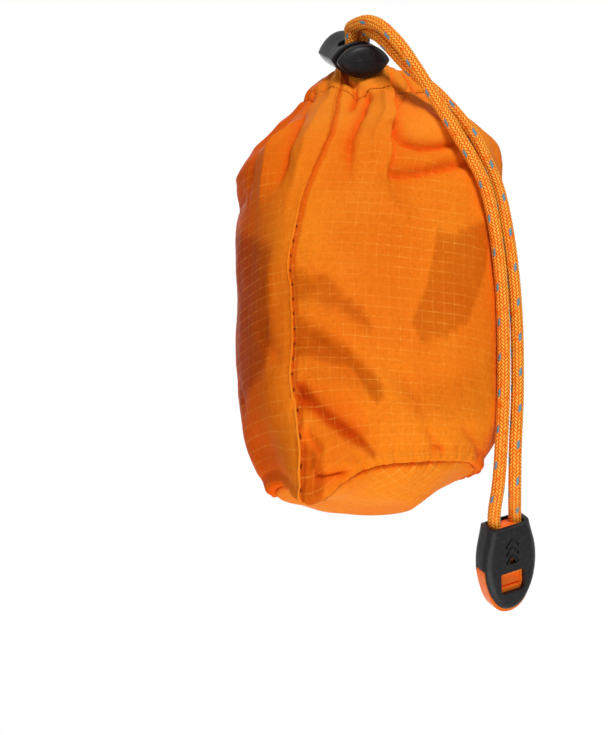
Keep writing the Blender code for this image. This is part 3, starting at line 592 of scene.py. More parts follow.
# Folds of the cloth: a line of (azimuth in degrees, height) points, its widths on the negative and
# the positive side, its height (below 0 for a valley), and how much its start and end fade. On a line
# that runs down the positive side is the right one, on one that runs right it is the upper one.
FOLDS = (
    # left panel
    (((214, 134), (219.4, 125.6), (225, 118.1), (231, 110.5), (230.6, 102), (227, 96.5), (221.5, 91.5)),
     (4, 2), -2.4, (0.04, 0.22)),
    (((235, 134), (231.8, 122), (236.5, 115), (239.5, 107), (236.5, 97), (233, 90), (230.5, 78)),
     (2.6, 4.5), 1.2, (0.1, 0.4)),
    (((225, 134), (219.4, 112), (219.4, 105.4), (219, 101.1), (216.5, 94), (213, 84)), (2.6, 3.6), 1.9,
     (0.3, 0.4)),
    (((206, 137), (203, 122), (204.5, 110), (204, 98), (203, 88)), (3.8, 3.2), -1.6, (0.1, 0.5)),
    (((197, 131), (194, 124), (192, 116), (190, 110)), (5, 3.4), 1.5, (0.4, 0.3)),
    (((172, 134.6), (188, 134.2), (204, 133.4)), (2.6, 3.4), -1.6, (0.4, 0.4)),
    (((166, 108), (180, 107.4), (190, 107), (200, 105.5)), (1.4, 4), 0.7, (0.4, 0.4)),
    (((168, 99), (182, 99.6), (192, 99), (202, 96.5)), (4.6, 2.2), -2.3, (0.35, 0.4)),
    (((224, 137.6), (232, 139.2), (239, 137.6), (243.5, 134.6)), (1.2, 1.8), 2, (0.3, 0.2)),
    (((240.5, 138.6), (245, 135.6), (251, 134.2), (258, 134.6)), (1.6, 0.9), -2, (0.1, 0.4)),
    # front, between the seam and the pleat
    (((252, 131.5), (249, 126), (247.5, 118)), (2, 3.2), -2.4, (0, 0.6)),
    (((263, 131.5), (257.5, 124.5), (256.6, 117.7), (259.4, 111.7), (260.4, 106.3), (260, 98.5),
     (261.5, 89)), (4.4, 1.6), -2.9, (0.05, 0.45)),
    (((272, 131.5), (269, 123), (269.5, 113), (271, 103), (270, 91)), (2.6, 4.5), 2, (0.1, 0.45)),
    # folds that start at the pleat
    (((275.5, 117.5), (281, 113), (288, 109.8), (298, 108.8), (309, 110.3), (318, 112.8), (328, 116)),
     (2, 3.6), -3.2, (0.05, 0.35)),
    (((286, 122), (293.5, 122), (301, 118.4), (309, 117.6), (319, 119.5)), (3, 4), 1.9, (0.3, 0.35)),
    (((282, 106), (293, 104.8), (306, 106), (320, 109.5)), (2.6, 2.6), 1, (0.3, 0.35)),
    (((277.5, 98), (287, 98.7), (300.9, 100.7), (311.6, 103.2), (322.3, 105.4), (335, 108.5)), (1.7, 3.8),
     -3.5, (0.06, 0.35)),
    (((276.8, 96.5), (277.6, 91.2), (281.4, 88.4), (288, 86.8), (298, 86.5)), (3.8, 1.6), 1.7,
     (0.2, 0.4)),
    (((274.5, 122.9), (280.7, 125.6), (293.1, 130), (306, 134), (313.3, 136.8)), (0.8, 1), -0.9,
     (0.02, 0.2)),
    (((277, 127), (283, 130), (292, 133.5)), (1.8, 2.4), 0.9, (0.2, 0.3)),
    (((306.6, 126.6), (311.1, 131.5), (313.3, 136)), (0.9, 0.9), -1.1, (0.2, 0.1)),
    (((330, 134.5), (326, 130), (322, 126)), (1, 1.2), -1.2, (0.1, 0.3)),
    # right and back
    (((312, 138), (318, 128), (327, 121), (338, 115)), (2.2, 3.4), -1.8, (0, 0.4)),
    (((340, 138), (343, 126), (348, 116), (352, 106)), (3.2, 2.2), -1.7, (0, 0.4)),
    (((4, 138), (5, 127), (3, 117), (4, 108)), (2.2, 3.2), -1.9, (0, 0.4)),
    (((16, 136), (17, 124), (15, 112), (18, 98)), (3.2, 3.8), 1, (0.1, 0.4)),
    (((27, 138), (30, 127), (28, 114), (25, 100)), (3.4, 2), -2, (0, 0.4)),
    (((52, 138), (50, 128), (54, 116), (52, 107)), (2, 3), -1.8, (0, 0.4)),
    (((64, 136), (66, 124), (69, 112), (66, 96)), (3.6, 3.4), 1, (0.1, 0.4)),
    (((76, 138), (80, 126), (84, 113), (83, 101)), (3.2, 2), -2.1, (0, 0.4)),
    (((103, 138), (101, 127), (106, 115), (108, 106)), (2.2, 3), -1.8, (0, 0.4)),
    (((116, 136), (118, 124), (119, 112), (121, 96)), (3.2, 3.6), 1, (0.1, 0.4)),
    (((128, 138), (131, 126), (133, 113), (129, 100)), (3.4, 2), -2, (0, 0.4)),
    (((155, 138), (153, 127), (158, 116), (160, 107)), (2, 3), -1.8, (0, 0.4)),
    (((180, 138), (183, 127), (185, 115), (184, 110)), (3, 2), -1.6, (0, 0.4)),
    # lower part
    (((234.6, 28.2), (242.4, 25.6), (253.1, 20.7), (260.4, 17.2), (264, 14.6), (264.6, 11)), (1.8, 5.6),
     -3.8, (0.02, 0.3)),
    (((236.5, 23.6), (243.5, 20.2), (252, 15.8)), (2.2, 2), 1.2, (0.2, 0.3)),
    (((238.5, 21.2), (241.9, 18.8), (246, 15.6)), (1.2, 2), -1.7, (0.2, 0.25)),
    (((240.5, 15.7), (246, 14.2), (252, 12.6), (262.5, 9.8)), (1, 2.2), 1.5, (0.1, 0.3)),
    (((240.5, 14), (247.5, 11.9), (257, 9.6)), (1.8, 0.4), -2.2, (0.1, 0.3)),
    (((236.5, 49.5), (246, 44.5), (256, 39.5), (265, 33.5), (274, 26)), (4, 2.6), -1.8, (0.1, 0.4)),
    (((237, 39), (247, 36), (258, 29), (268, 20)), (2, 3.6), 1.4, (0.15, 0.4)),
    (((238, 56), (248, 51), (258, 45.5), (268, 39)), (3, 3.4), 1.1, (0.2, 0.4)),
    (((236.8, 57.5), (244, 55.6), (254.8, 48.6), (266, 41.6)), (1.6, 2.6), 0.6, (0.1, 0.4)),
    (((280, 40), (292, 28), (301, 18)), (4, 3), -0.7, (0.4, 0.3)),
    (((303, 13), (308, 12), (313, 10)), (1.4, 1.8), -1.4, (0.3, 0.3)),
    (((296, 20), (303, 15), (305, 10.5)), (2.2, 1.6), -0.8, (0.4, 0)),
    (((315, 22), (326, 16.5), (340, 12.5), (356, 8.6)), (1.8, 2.8), -1, (0.3, 0.2)),
    (((207, 54), (220, 47), (230, 37)), (2.4, 3.8), -0.9, (0.4, 0.2)),
    (((222, 76), (223.5, 60), (221, 42)), (2.4, 2.4), 0.5, (0.3, 0.4)),
    (((20, 80), (34, 70), (46, 66)), (3, 4), -0.9, (0.4, 0.4)),
    (((84, 60), (100, 52), (118, 50)), (3, 4), -1, (0.4, 0.4)),
    (((136, 92), (150, 84), (160, 72)), (4, 3), -1, (0.4, 0.4)),
    (((170, 46), (184, 38), (194, 26)), (3, 3.6), -1, (0.4, 0.3)),
    (((60, 30), (72, 22), (90, 18)), (2.6, 3.4), -0.9, (0.4, 0.3)),
    (((118, 26), (132, 20), (144, 12)), (2.6, 3.4), -0.9, (0.4, 0.2)),
)

# The side seam, from the mouth to the base, and the pleat's edge.
SEAM_LINE = (
    (236.5, 141.8), (239, 137.4), (240.6, 134.6), (238, 127.2), (242.2, 118.2), (248.3, 110.7),
    (246.9, 104.9), (243.6, 98.5), (241, 93.2), (238.8, 87.4), (236.5, 79), (234.3, 72.6), (233.9, 66),
    (235.1, 60.8), (235.7, 50.8), (235.4, 41.8), (234, 33.4), (234.4, 28), (236.2, 22), (236.6, 18),
    (234.8, 14), (232, 10.4), (232.6, 8)
)
PLEAT_LINE = (
    (289.1, 136.8), (281.5, 131.5), (274.8, 122.7), (277.4, 113.6), (280.8, 106.3), (279.8, 99.9),
    (277.3, 95.2)
)

# Where the hem is sewn down, round the sack.
STITCH_LINE = (
    (0, 133.6), (30, 132.4), (62, 133.8), (95, 132), (128, 133.6), (158, 132.2), (188, 133.4),
    (212, 131.8), (228, 133.2), (237, 132.4), (242.4, 131.4), (246.6, 130.4), (249.6, 129.5),
    (254, 129.3), (258.5, 130.4), (263.8, 131.5), (271.1, 132.1), (280.7, 131.4), (287, 130.6),
    (296, 131.6), (306, 133.4), (322, 134.4), (342, 133.2), (360, 133.6)
)

# What shows through the cloth: an outline of (azimuth, height) points, how dark, the softness of its
# edge, and how mottled.
CONTENTS = (
    (((306, 82), (313.5, 80.5), (332, 88), (337, 88), (332.5, 72), (322, 54), (309, 47), (296, 45.5),
     (291, 51), (299, 62)), 0.55, 0.7, 0.15),
    (((234.9, 66.7), (239.6, 66.1), (244, 63.4), (248.3, 64.3), (252.7, 62.5), (256.1, 58.9),
     (260.5, 56.2), (264.8, 54.1), (268.7, 50.5), (270.9, 46.8), (267.8, 46.2), (263.5, 48.7),
     (259.2, 51.1), (254.8, 53.8), (250.1, 53.5), (245.7, 55.9), (240.5, 56.5), (234.9, 55.9)),
     0.72, 1.3, 0.40),
    (((234.9, 50.5), (239.6, 51.7), (242.7, 48.1), (247.4, 46.5), (251.8, 44.4), (255.3, 42.6),
     (259.6, 41.1), (263.5, 38.4), (267, 36), (270.4, 34.2), (274.8, 30.6), (275.2, 27), (271.8, 25.2),
     (268.3, 27), (265.2, 30), (261.8, 34.2), (257, 36.3), (251.8, 36), (246.6, 37.5), (241.4, 39),
     (234.9, 39)), 0.92, 1.3, 0.25),
    (((234.9, 35.4), (246.6, 35.4), (256.1, 36.6), (263.1, 34.2), (267.4, 32.4), (266.5, 27),
     (261.3, 29.4), (255.3, 30.6), (250.1, 30.6), (243.1, 31.8), (234.9, 32.4)), 0.34, 1.6, 0.5),
    # The left panel's patch: the contents seen through, darkened further as painted shade of the panel
    # turned from the lights.
    (((180, 90), (186, 88.4), (209.8, 81.9), (224.2, 75.5), (223.9, 68), (223.9, 46.1), (220.5, 40),
     (216.6, 36.8), (180, 30)), 0.95, 2.2, 0.30),
    (((276, 33), (296, 30), (330, 40), (345, 55), (352, 34), (330, 24), (296, 21)), 0.34, 4, 0.5),
    (((250, 104), (284, 100), (290, 78), (282, 60), (262, 62), (248, 80)), 0.16, 6, 0.3),
    (((40, 90), (74, 84), (92, 60), (70, 34), (46, 48)), 0.62, 1.2, 0.3),
    (((112, 76), (146, 92), (160, 66), (140, 38), (118, 44)), 0.62, 1.4, 0.5),
)

# Painted shade of dark red folds that nothing lies behind, laid into the seam shade: an outline and how
# dark.
SHADOWS = (
    (((234.9, 32.4), (238.8, 31.2), (241.8, 28.8), (245.3, 26.1), (249.6, 24), (254, 22.2), (258.3, 19.8),
     (262.6, 17.1), (266.1, 14.7), (269.6, 11.7), (267.8, 10.5), (263.9, 12.9), (260.5, 14.7),
     (256.1, 16.8), (251.8, 19.2), (247.4, 21.6), (243.1, 24), (238.8, 24.6), (234.9, 24)), 0.80),
    (((234.9, 19.2), (238.8, 18.6), (242.2, 17.7), (244.8, 15), (245.7, 12), (242.2, 9), (237.9, 6.6),
     (234.9, 6.6)), 0.70),
)


def shape_sack():
    """The cloth's own points and what its material needs at each of them."""
    plain, degrees, height, row_number = sack_grid()
    across = degrees * MM_PER_DEGREE
    full = 360.0 * MM_PER_DEGREE
    offset = np.zeros(height.shape)
    shade = np.zeros(height.shape)
    level = np.where(row_number <= HEM_ROW, height, HEM_LEVEL + (row_number - HEM_ROW) * HEM_ROW_RISE)

    for line, (before, after), tall, (start, stop) in FOLDS:
        azimuths = [azimuth for azimuth, _ in line]
        for shift in (-full, 0.0, full):
            if shift and min(azimuths) > 40 and max(azimuths) < 320:
                continue
            distance, side, along = crease_field(across + shift, level, line)
            near = crease(distance, side, before, after) * ends_fade(along, start, stop)
            offset += tall * near
            if tall < 0:
                # A valley also gets painted shade, deeper for deeper valleys.
                shade = np.maximum(shade, near ** 1.6 * min(-tall / 2.2, 1.0))

    # The pleat: cloth on its left lies over the cloth on its right.
    distance, side, along = crease_field(across, level, PLEAT_LINE)
    under = smooth_step(side * distance, -0.35, 0.35)
    fade = ends_fade(along, 0.0, 0.2)
    offset += fade * (1.7 * (1.0 - under) * fading(distance, 4.0) - 1.7 * under * fading(distance, 3.0))
    # Painted shade on the covered cloth beside the pleat's edge.
    shade = np.maximum(shade, 0.9 * fade * under * fading(distance, 2.6))

    # The side seam: its left panel lies over the right one, which shows as a narrow lower band.
    distance, side, along = crease_field(across, level, SEAM_LINE)
    signed = side * distance
    over = 1.0 - smooth_step(signed, -0.1, 0.45)
    offset += 0.32 * over * fading(distance, 2.2)
    offset -= 0.30 * (1.0 - over) * fading(distance, 1.6)
    offset += 0.22 * bell(signed - 2.1, 0.5)
    offset += 0.14 * waves(level, SEAM_PUCKER) * fading(distance, 3.2) * smooth_step(distance, 0.3, 1.6)
    # Painted shade: a dark line in the seam's groove, and a shaded band over the lower cloth beside it.
    seam_shade = 0.9 * bell(signed - 0.35, 0.30)
    shade = np.maximum(shade, 0.75 * smooth_step(signed, 0.1, 0.6) * (1.0 - smooth_step(signed, 1.4, 2.2)))

    # The base seam: a rolled edge with small puckers, and cloth that puckers over it.
    above = np.maximum(level - BASE_LEVEL, 0.0)
    corner = bell(degrees - 343.0, 20.0)
    offset += 0.30 * waves(degrees, BASE_SEAM_WAVE) * fading(above, 4.0)
    offset -= corner * fading(above, 5.0)
    offset += 0.75 * (1.0 - 0.7 * corner) * bell(above - 1.5, 1.3)
    offset -= 0.4 * bell(above - 4.4, 1.4)
    offset -= 1.3 * bell(above, 0.45)

    # A hollow low on the left.
    offset -= 1.8 * bell(degrees - 203.0, 16.0) * bell(level - 17.0, 8.0)

    # Gathers of the hem, finer than the folds below it, and the groove where it is sewn down.
    turn = np.radians(degrees)
    uneven = 0.55 + 0.45 * np.abs(np.sin(turn * 2.5 + 0.8))
    offset += 0.30 * waves(turn, HEM_GATHERS) * smooth_step(level, 128.0, HEM_LEVEL) * uneven
    from_stitch = level - along_line(STITCH_LINE, degrees)
    offset -= 0.55 * bell(from_stitch, 0.42)
    offset += 0.60 * bell(from_stitch - 2.9, 2.2)
    # Painted shade in the groove where the hem is sewn down.
    seam_shade = np.maximum(seam_shade, 0.45 * bell(from_stitch, 0.30))

    # Slack of the thin cloth over what it holds. The middle of the front is the smoothest.
    rough = 1.0 - 0.6 * bell(degrees - 272.0, 26.0) * bell(level - 66.0, 30.0)
    offset += rough * (0.60 * lumps(plain, 16.0, 1, 0.8) + 0.28 * lumps(plain, 7.5, 2))
    ridged = 1.0 - 2.0 * np.abs(lumps(plain, 12.0, 3, 0.6))
    sharp = 1.0 - 2.0 * np.abs(lumps(plain, 5.6, 4, 0.8))
    offset += rough * (0.24 * ridged + 0.10 * sharp * np.maximum(0.0, lumps(plain, 20.0, 5) + 0.35))
    offset *= 1.0 - 0.75 * smooth_step(row_number, *THROAT_ROWS)

    contents = np.zeros(height.shape)
    mottle = np.zeros(height.shape)
    for outline, dark, soft, mottled in CONTENTS:
        share = dark * polygon_share(across, level, outline, soft)
        mottle = np.where(share > contents, mottled, mottle)
        contents = np.maximum(contents, share)
    # Painted fold shadows go into the seam shade.
    for outline, dark in SHADOWS:
        seam_shade = np.maximum(seam_shade, dark * polygon_share(across, level, outline, 1.0))
    # Painted shade on the sides and back turned from the lights, less of it towards the middle of the back.
    away = np.abs(np.degrees(turn_from(turn, math.radians(288.0))))
    painted_side_shade = smooth_step(away, 44.0, 95.0) * (1.0 - 0.8 * smooth_step(away, 105.0, 150.0))
    points = plain + grid_normals(plain) * offset[..., None]
    return points, level, {"contents": contents, "mottle": mottle, "fold_shade": shade,
                           "seam_shade": seam_shade, "painted_side_shade": painted_side_shade}


def cloth_places(level):
    """Millimetres across and along the cut panel for each row and step, measured from the side seam."""
    plain, _, _, _ = sack_grid()
    heights = level[:, 0]
    ring = plain[int(np.argmin(np.abs(heights - 60.0)))]
    lengths = np.linalg.norm(np.roll(ring, -1, axis=0) - ring, axis=1)
    arc = np.concatenate([[0.0], np.cumsum(lengths)])
    step_up = np.linalg.norm(np.diff(plain, axis=0), axis=-1).mean(axis=1)
    run = np.concatenate([[0.0], np.cumsum(step_up)])
    seam = along_line(SEAM_LINE, heights, 1)
    away = 360.0 * np.arange(AROUND + 1) / AROUND - seam[:, None]
    aside = arc - (seam - 236.0)[:, None] * MM_PER_DEGREE * fading(np.abs(away), 40.0)
    left = np.where((away < 0) & (away > -150), np.exp(away / 50.0), 0.0)
    return aside, run[:, None] + 1.6 * left


def make_sack(finish):
    points, level, values = shape_sack()
    faces, corners = ring_faces(*level.shape)
    aside, up = cloth_places(level)
    uvs = [(aside[row, step], up[row, step]) for quad in corners for row, step in quad]
    sack = make_mesh("sack_cloth", points.reshape(-1, 3), faces, finish, "cloth", uvs, values)
    return sack, points, level


def make_base(finish, rim):
    """The round base panel, cut on the bias, sewn to the sack's lower edge."""
    shares = (0.0, 0.02, 0.06, 0.12, 0.20, 0.30, 0.41, 0.52, 0.63, 0.74, 0.84, 0.93, 1.0)
    around = len(rim)
    azimuth = 2 * math.pi * np.arange(around) / around
    outward = circle(1.0, azimuth)
    flat = circle(BASE_FLAT_RADIUS, azimuth)
    fullness = 0.45 + 0.75 * np.maximum(0.0, np.cos(azimuth - BASE_TILT_AZIMUTH))
    pucker = 0.12 * waves(azimuth, BASE_PUCKER)
    calm = sum(np.roll(rim, step, axis=0) for step in range(-30, 31)) / 61.0
    rings = [rim - outward * 1.5 + (0.0, 0.0, 2.4), rim - outward * 0.7 + (0.0, 0.0, 1.2)]
    for share in shares:
        near = math.exp(-share / 0.10)
        lip = math.exp(-share / 0.05)
        edge = rim * near + calm * (1 - near)
        place = edge * (1 - share) + flat * share
        place[:, 2] = (edge[:, 2] - 0.1) * (1.0 - share ** fullness) + pucker * lip
        place += outward * (0.5 - 0.6 * lip)
        place[:, 2] += 0.35 * np.sin(place[:, 0] * 0.33 + place[:, 1] * 0.21) * math.sin(math.pi * share)
        rings.append(place)
    rings += [circle(BASE_FLAT_RADIUS * radius, azimuth) for radius in (0.72, 0.42, 0.14)]
    faces, _ = ring_faces(len(rings), around)
    faces.append(tuple(range((len(rings) - 1) * around, len(rings) * around)))
    faces = [tuple(reversed(face)) for face in faces]

    inward = [np.linalg.norm(after - ring, axis=1) for ring, after in zip(rings, rings[1:])]
    reach = np.concatenate([np.full(around, 1.8) + sum(inward[row:]) for row in range(len(rings))])
    turn = np.tile(azimuth, len(rings)) + math.radians(BASE_BIAS)
    flat_places = np.stack([reach * np.cos(turn), reach * np.sin(turn)], axis=-1)
    uvs = flat_places[np.concatenate(faces)]
    # Painted shade along the base seam, strongest at its edge and fading inwards.
    shade = [0.9, 0.9] + [0.7 * math.exp(-share / 0.03) for share in shares] + [0.0, 0.0, 0.0]
    return make_mesh("base_cloth", np.concatenate(rings), faces, finish, "cloth", uvs,
                     {"fold_shade": np.repeat(shade, around)})


def lock_frame():
    axis = LOCK_AXIS.normalized()
    wide = (LOCK_WIDE - axis * LOCK_WIDE.dot(axis)).normalized()
    return Matrix((wide, -axis, axis.cross(wide).normalized())).transposed()


def lock_place(x, y, z):
    return LOCK_CENTRE + lock_frame() @ Vector((x, y, z))


def whistle_frame():
    up = WHISTLE_UP.normalized()
    wide = (WHISTLE_WIDE - up * WHISTLE_WIDE.dot(up)).normalized()
    return Matrix((wide, up.cross(wide).normalized(), up)).transposed()


def whistle_place(x, y, z):
    return WHISTLE_TOP + whistle_frame() @ Vector((x, y, z))


def ring_point(azimuth):
    return Vector((MOUTH_X + RING_RADIUS_X * math.cos(azimuth), RING_RADIUS_Y * math.sin(azimuth),
                   RING_HEIGHT + RING_TILT * math.sin(azimuth) - RING_RISE_LEFT * math.cos(azimuth)))


def loop_route():
    """The held part of the drawcord: down through the lock, round the hem and up again."""
    left, right = STRAND_SIDES
    slot = LOCK_SLOT_Y
    reach = LOCK_HALF_HEIGHT + 0.5
    first, last, turns = math.radians(218.0), math.radians(-70.0), 16
    ring = [ring_point(first + (last - first) * step / turns) for step in range(turns + 1)]
    return smooth_path([
        lock_place(left, slot, reach), lock_place(left, slot, 0.0), lock_place(left, slot, -reach),
        lock_place(left - 0.5, slot + 1.0, -reach - 1.9), *ring,
        lock_place(right + 1.6, slot + 0.2, -reach - 3.0), lock_place(right + 0.2, slot, -reach - 0.6),
        lock_place(right, slot, 0.0), lock_place(right, slot, reach)], 6)


def strand_routes():
    """The two free strands, from the lock over the shoulder to the whistle. They cross once."""
    left, right = STRAND_SIDES
    slot = LOCK_SLOT_Y
    start = LOCK_HALF_HEIGHT + 0.5
    outer = [lock_place(right, slot, start), lock_place(right, slot, start + 1.3),
             lock_place(right + 0.1, slot - 0.8, start + 2.5),
             (2.2, -26.2, 147.7), (6.0, -28.0, 143.0), (11.1, -27.4, 137.3), (17.3, -26.1, 131.5),
             (22.0, -25.8, 127.1), (27.8, -25.5, 120.4), (32.5, -24.4, 114.1), (36.5, -22.6, 106.7),
             (40.6, -19.4, 97.2), (43.4, -16.8, 83.0), (45.2, -13.8, 67.0), (45.8, -12.6, 51.0),
             (45.6, -11.2, 33.0), (44.9, -8.0, 17.5), (44.9, -3.0, 7.0),
             whistle_place(WHISTLE_STRAND, 0.0, 4.4), whistle_place(WHISTLE_STRAND, 0.0, -1.5)]
    inner = [lock_place(left, slot, start), lock_place(left, slot, start + 1.5),
             lock_place(left - 0.1, slot - 0.4, start + 3.7),
             (-1.6, -27.2, 152.0), (2.6, -30.6, 149.5), (6.4, -32.3, 145.3), (10.3, -32.3, 140.4),
             (15.2, -31.4, 132.9), (18.9, -30.3, 126.9), (23.5, -28.8, 119.8), (27.9, -27.2, 112.8),
             (32.3, -25.3, 105.6), (36.3, -23.0, 97.0), (39.0, -19.4, 85.2), (40.8, -16.8, 69.0),
             (41.4, -15.0, 51.0), (41.1, -13.6, 33.0), (40.4, -9.6, 17.5), (39.7, -4.0, 6.4),
             whistle_place(-WHISTLE_STRAND, 0.0, 4.4), whistle_place(-WHISTLE_STRAND, 0.0, -1.5)]
    return smooth_path(outer, 8), smooth_path(inner, 8)


def braid_crown(columns, along):
    """The height of the braid, 0 to 1: columns of grains that lean in turn to either side."""
    column = np.floor(columns)
    aside = columns - column
    odd = np.mod(column, 2.0)
    phase = along / GRAIN + (1.0 - 2.0 * odd) * GRAIN_LEAN * (aside - 0.5) + 0.5 * odd
    part = phase - np.floor(phase)
    return np.sin(math.pi * aside) ** 0.6 * np.sin(math.pi * part) ** 0.7


def braided_cord(name, path, finish, turn=0.0):
    """A round cord whose surface has the crowns of its braid. Also returns its centreline in metres."""
    points = resample(path, 0.24)
    count = len(points)
    share = np.arange(CORD_STEPS) / CORD_STEPS
    angle = 2 * math.pi * share + turn
    side = (points[1] - points[0]).orthogonal().normalized()
    rings = []
    run = 0.0
    previous = points[0]
    for index, point in enumerate(points):
        along = (points[min(index + 1, count - 1)] - points[max(index - 1, 0)]).normalized()
        side = (side - along * side.dot(along)).normalized()
        spokes = np.outer(np.cos(angle), side) + np.outer(np.sin(angle), along.cross(side))
        run += (point - previous).length
        previous = point
        radius = CORD_RADIUS - BRAID_SINK + BRAID_RISE * braid_crown(BRAID_COLUMNS * share, run)
        rings.append(np.array(point) + spokes * radius[:, None])
    faces, corners = ring_faces(count, CORD_STEPS)
    faces += end_faces(count, CORD_STEPS)
    spacing = run / (count - 1)
    uvs = [(BRAID_COLUMNS * step / CORD_STEPS, row * spacing) for quad in corners for row, step in quad]
    uvs += [(0.5, 0.5)] * (2 * CORD_STEPS)
    cord = make_mesh(name, np.concatenate(rings), faces, finish, "braid", uvs)
    return cord, [tuple(point * MM) for point in points]


def turn_faces_out(thing):
    work = bmesh.new()
    work.from_mesh(thing.data)
    bmesh.ops.recalc_face_normals(work, faces=work.faces)
    work.to_mesh(thing.data)
    work.free()


def loft(name, sections, finish, matrix):
    """A closed solid through sections that have the same number of points."""
    rows, around = len(sections), len(sections[0])
    faces = ring_faces(rows, around)[0] + end_faces(rows, around)
    points = [point for section in sections for point in section]
    thing = make_mesh(name, points, faces, finish, smooth=False)
    turn_faces_out(thing)
    thing.data.transform(matrix)
    return thing


def prism(name, outline, low, high, finish, matrix, axis="Y"):
    """An outline drawn out along an axis."""
    if axis == "Y":
        sections = [[(x, depth, z) for x, z in outline] for depth in (low, high)]
    else:
        sections = [[(x, y, depth) for x, y in outline] for depth in (low, high)]
    return loft(name, sections, finish, matrix)


def lens_loft(name, rows, finish, matrix):
    """Lens sections along the lock's own Y: position, scale and how much the upper side rises."""
    half = LENS_STEPS // 2
    turns = [math.cos(math.pi * (step + 0.5) / half) for step in range(half)]
    sections = []
    for place, scale, crown in rows:
        upper = [(LOCK_HALF_WIDTH * scale * turn,
                  LOCK_HALF_HEIGHT * scale * (1.0 - abs(turn) ** 2.2) ** 0.82) for turn in turns]
        sections.append([(x, place, z * crown) for x, z in upper] + [(-x, place, -z) for x, z in upper])
    return loft(name, sections, finish, matrix)


def slot_outline(half_width, low, high, radius=2.2):
    """A rectangle with round corners, eight steps to a corner."""
    middle = (low + high) / 2
    half = (high - low) / 2
    radius = min(half, radius)
    outline = []
    for corner_x, corner_y, start in ((1, 1, 0), (-1, 1, 90), (-1, -1, 180), (1, -1, 270)):
        for step in range(9):
            turn = math.radians(start + 90.0 * step / 8)
            outline.append((corner_x * (half_width - radius) + radius * math.cos(turn),
                            middle + corner_y * (half - radius) + radius * math.sin(turn)))
    return outline


def carve(target, cutters, operation="DIFFERENCE"):
    """Cuts each cutter from the target, or joins it, and removes the cutter."""
    for cutter in cutters:
        step = target.modifiers.new("cut", "BOOLEAN")
        step.operation = operation
        step.solver = "EXACT"
        step.object = cutter
        graph = bpy.context.evaluated_depsgraph_get()
        made = bpy.data.meshes.new_from_object(target.evaluated_get(graph))
        target.modifiers.clear()
        target.data = made
        bpy.data.objects.remove(cutter)


def soften(thing, width):
    """Rounded edges and smooth shading."""
    edge = thing.modifiers.new("edges", "BEVEL")
    edge.width = width * MM
    edge.segments = 3
    edge.limit_method = "ANGLE"
    edge.angle_limit = EDGE_ANGLE
    edge.harden_normals = True
    thing.data.shade_smooth()
    thing.data.set_sharp_from_angle(angle=EDGE_ANGLE)


def local_matrix(centre, turn):
    return Matrix.Translation(centre * MM) @ turn.to_4x4()


def make_lock(black):
    matrix = local_matrix(LOCK_CENTRE, lock_frame())
    low, high = LOCK_SLOT_Y - LOCK_SLOT_HALF_LENGTH, LOCK_SLOT_Y + LOCK_SLOT_HALF_LENGTH
    barrel = lens_loft("lock_barrel_moulding", (
        (-5.2, 0.955, 1.0), (-5.05, 0.995, 1.0), (-4.75, 1.015, 1.0), (-4.3, 1.015, 1.0),
        (-4.0, 0.995, 1.0), (-3.85, 0.968, 1.0), (-3.4, 0.965, 1.0), (0.5, 0.965, 1.01),
        (2.0, 0.965, 1.04), (3.5, 0.965, 1.08), (5.0, 0.965, 1.14), (6.4, 0.963, 1.21),
        (7.6, 0.96, 1.26), (8.6, 0.952, 1.30), (9.4, 0.938, 1.32), (10.0, 0.908, 1.32),
        (10.45, 0.86, 1.29), (10.8, 0.76, 1.2)), black, matrix)
    slot = slot_outline(LOCK_SLOT_HALF_WIDTH, low, high)
    carve(barrel, [lens_loft("cavity", ((-8.0, 0.80, 1.0), (LOCK_CAVITY_END, 0.80, 1.0)), black, matrix),
                   prism("slot", slot, -9.0, 9.0, black, matrix, "Z")])
    soften(barrel, 0.28)
    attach(barrel, "sack")
    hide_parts("lock_barrel")

    cap = lens_loft("lock_plunger_moulding", (
        (-8.6, 0.93, 1.0), (-8.75, 0.965, 1.0), (-9.0, 0.985, 1.0), (-9.9, 0.985, 1.0),
        (-10.15, 0.97, 1.0), (-10.25, 0.935, 1.0), (-10.3, 0.915, 1.0), (-10.55, 0.90, 1.0),
        (-10.95, 0.83, 1.0), (-11.3, 0.70, 1.0), (-11.6, 0.50, 1.0), (-11.75, 0.26, 1.0)), black, matrix)
    stem = lens_loft("stem", ((-9.4, 0.755, 1.0), (3.7, 0.755, 1.0), (4.0, 0.72, 1.0)), black, matrix)
    carve(cap, [stem], "UNION")
    slot = slot_outline(LOCK_SLOT_HALF_WIDTH - 0.25, low - LOCK_TRAVEL, high)
    line = ((-5.2, -11.9), (5.2, -11.9), (5.2, -11.36), (-5.2, -11.36))
    carve(cap, [prism("slot", slot, -9.0, 9.0, black, matrix, "Z"),
                prism("line", line, -0.05, 0.05, black, matrix, "Z")])
    soften(cap, 0.16)
    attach(cap, "plunger")
    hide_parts("lock_plunger")


def fine_outline():
    """The whistle's right side with smooth steps, then its left side."""
    points = smooth_path([(half, 0.0, height) for height, half in WHISTLE_OUTLINE], 4)
    right = [(point.x, point.z) for point in points]
    return right + [(-x, z) for x, z in reversed(right)]


def whistle_section(depth, inset):
    """The outline at a depth, drawn in on all sides, least at the collar."""
    narrower = 1.0 - inset / WHISTLE_MEAN_WIDTH
    return [(x * narrower, depth, z - inset * (0.3 + 1.3 * z / WHISTLE_LENGTH)) for x, z in fine_outline()]


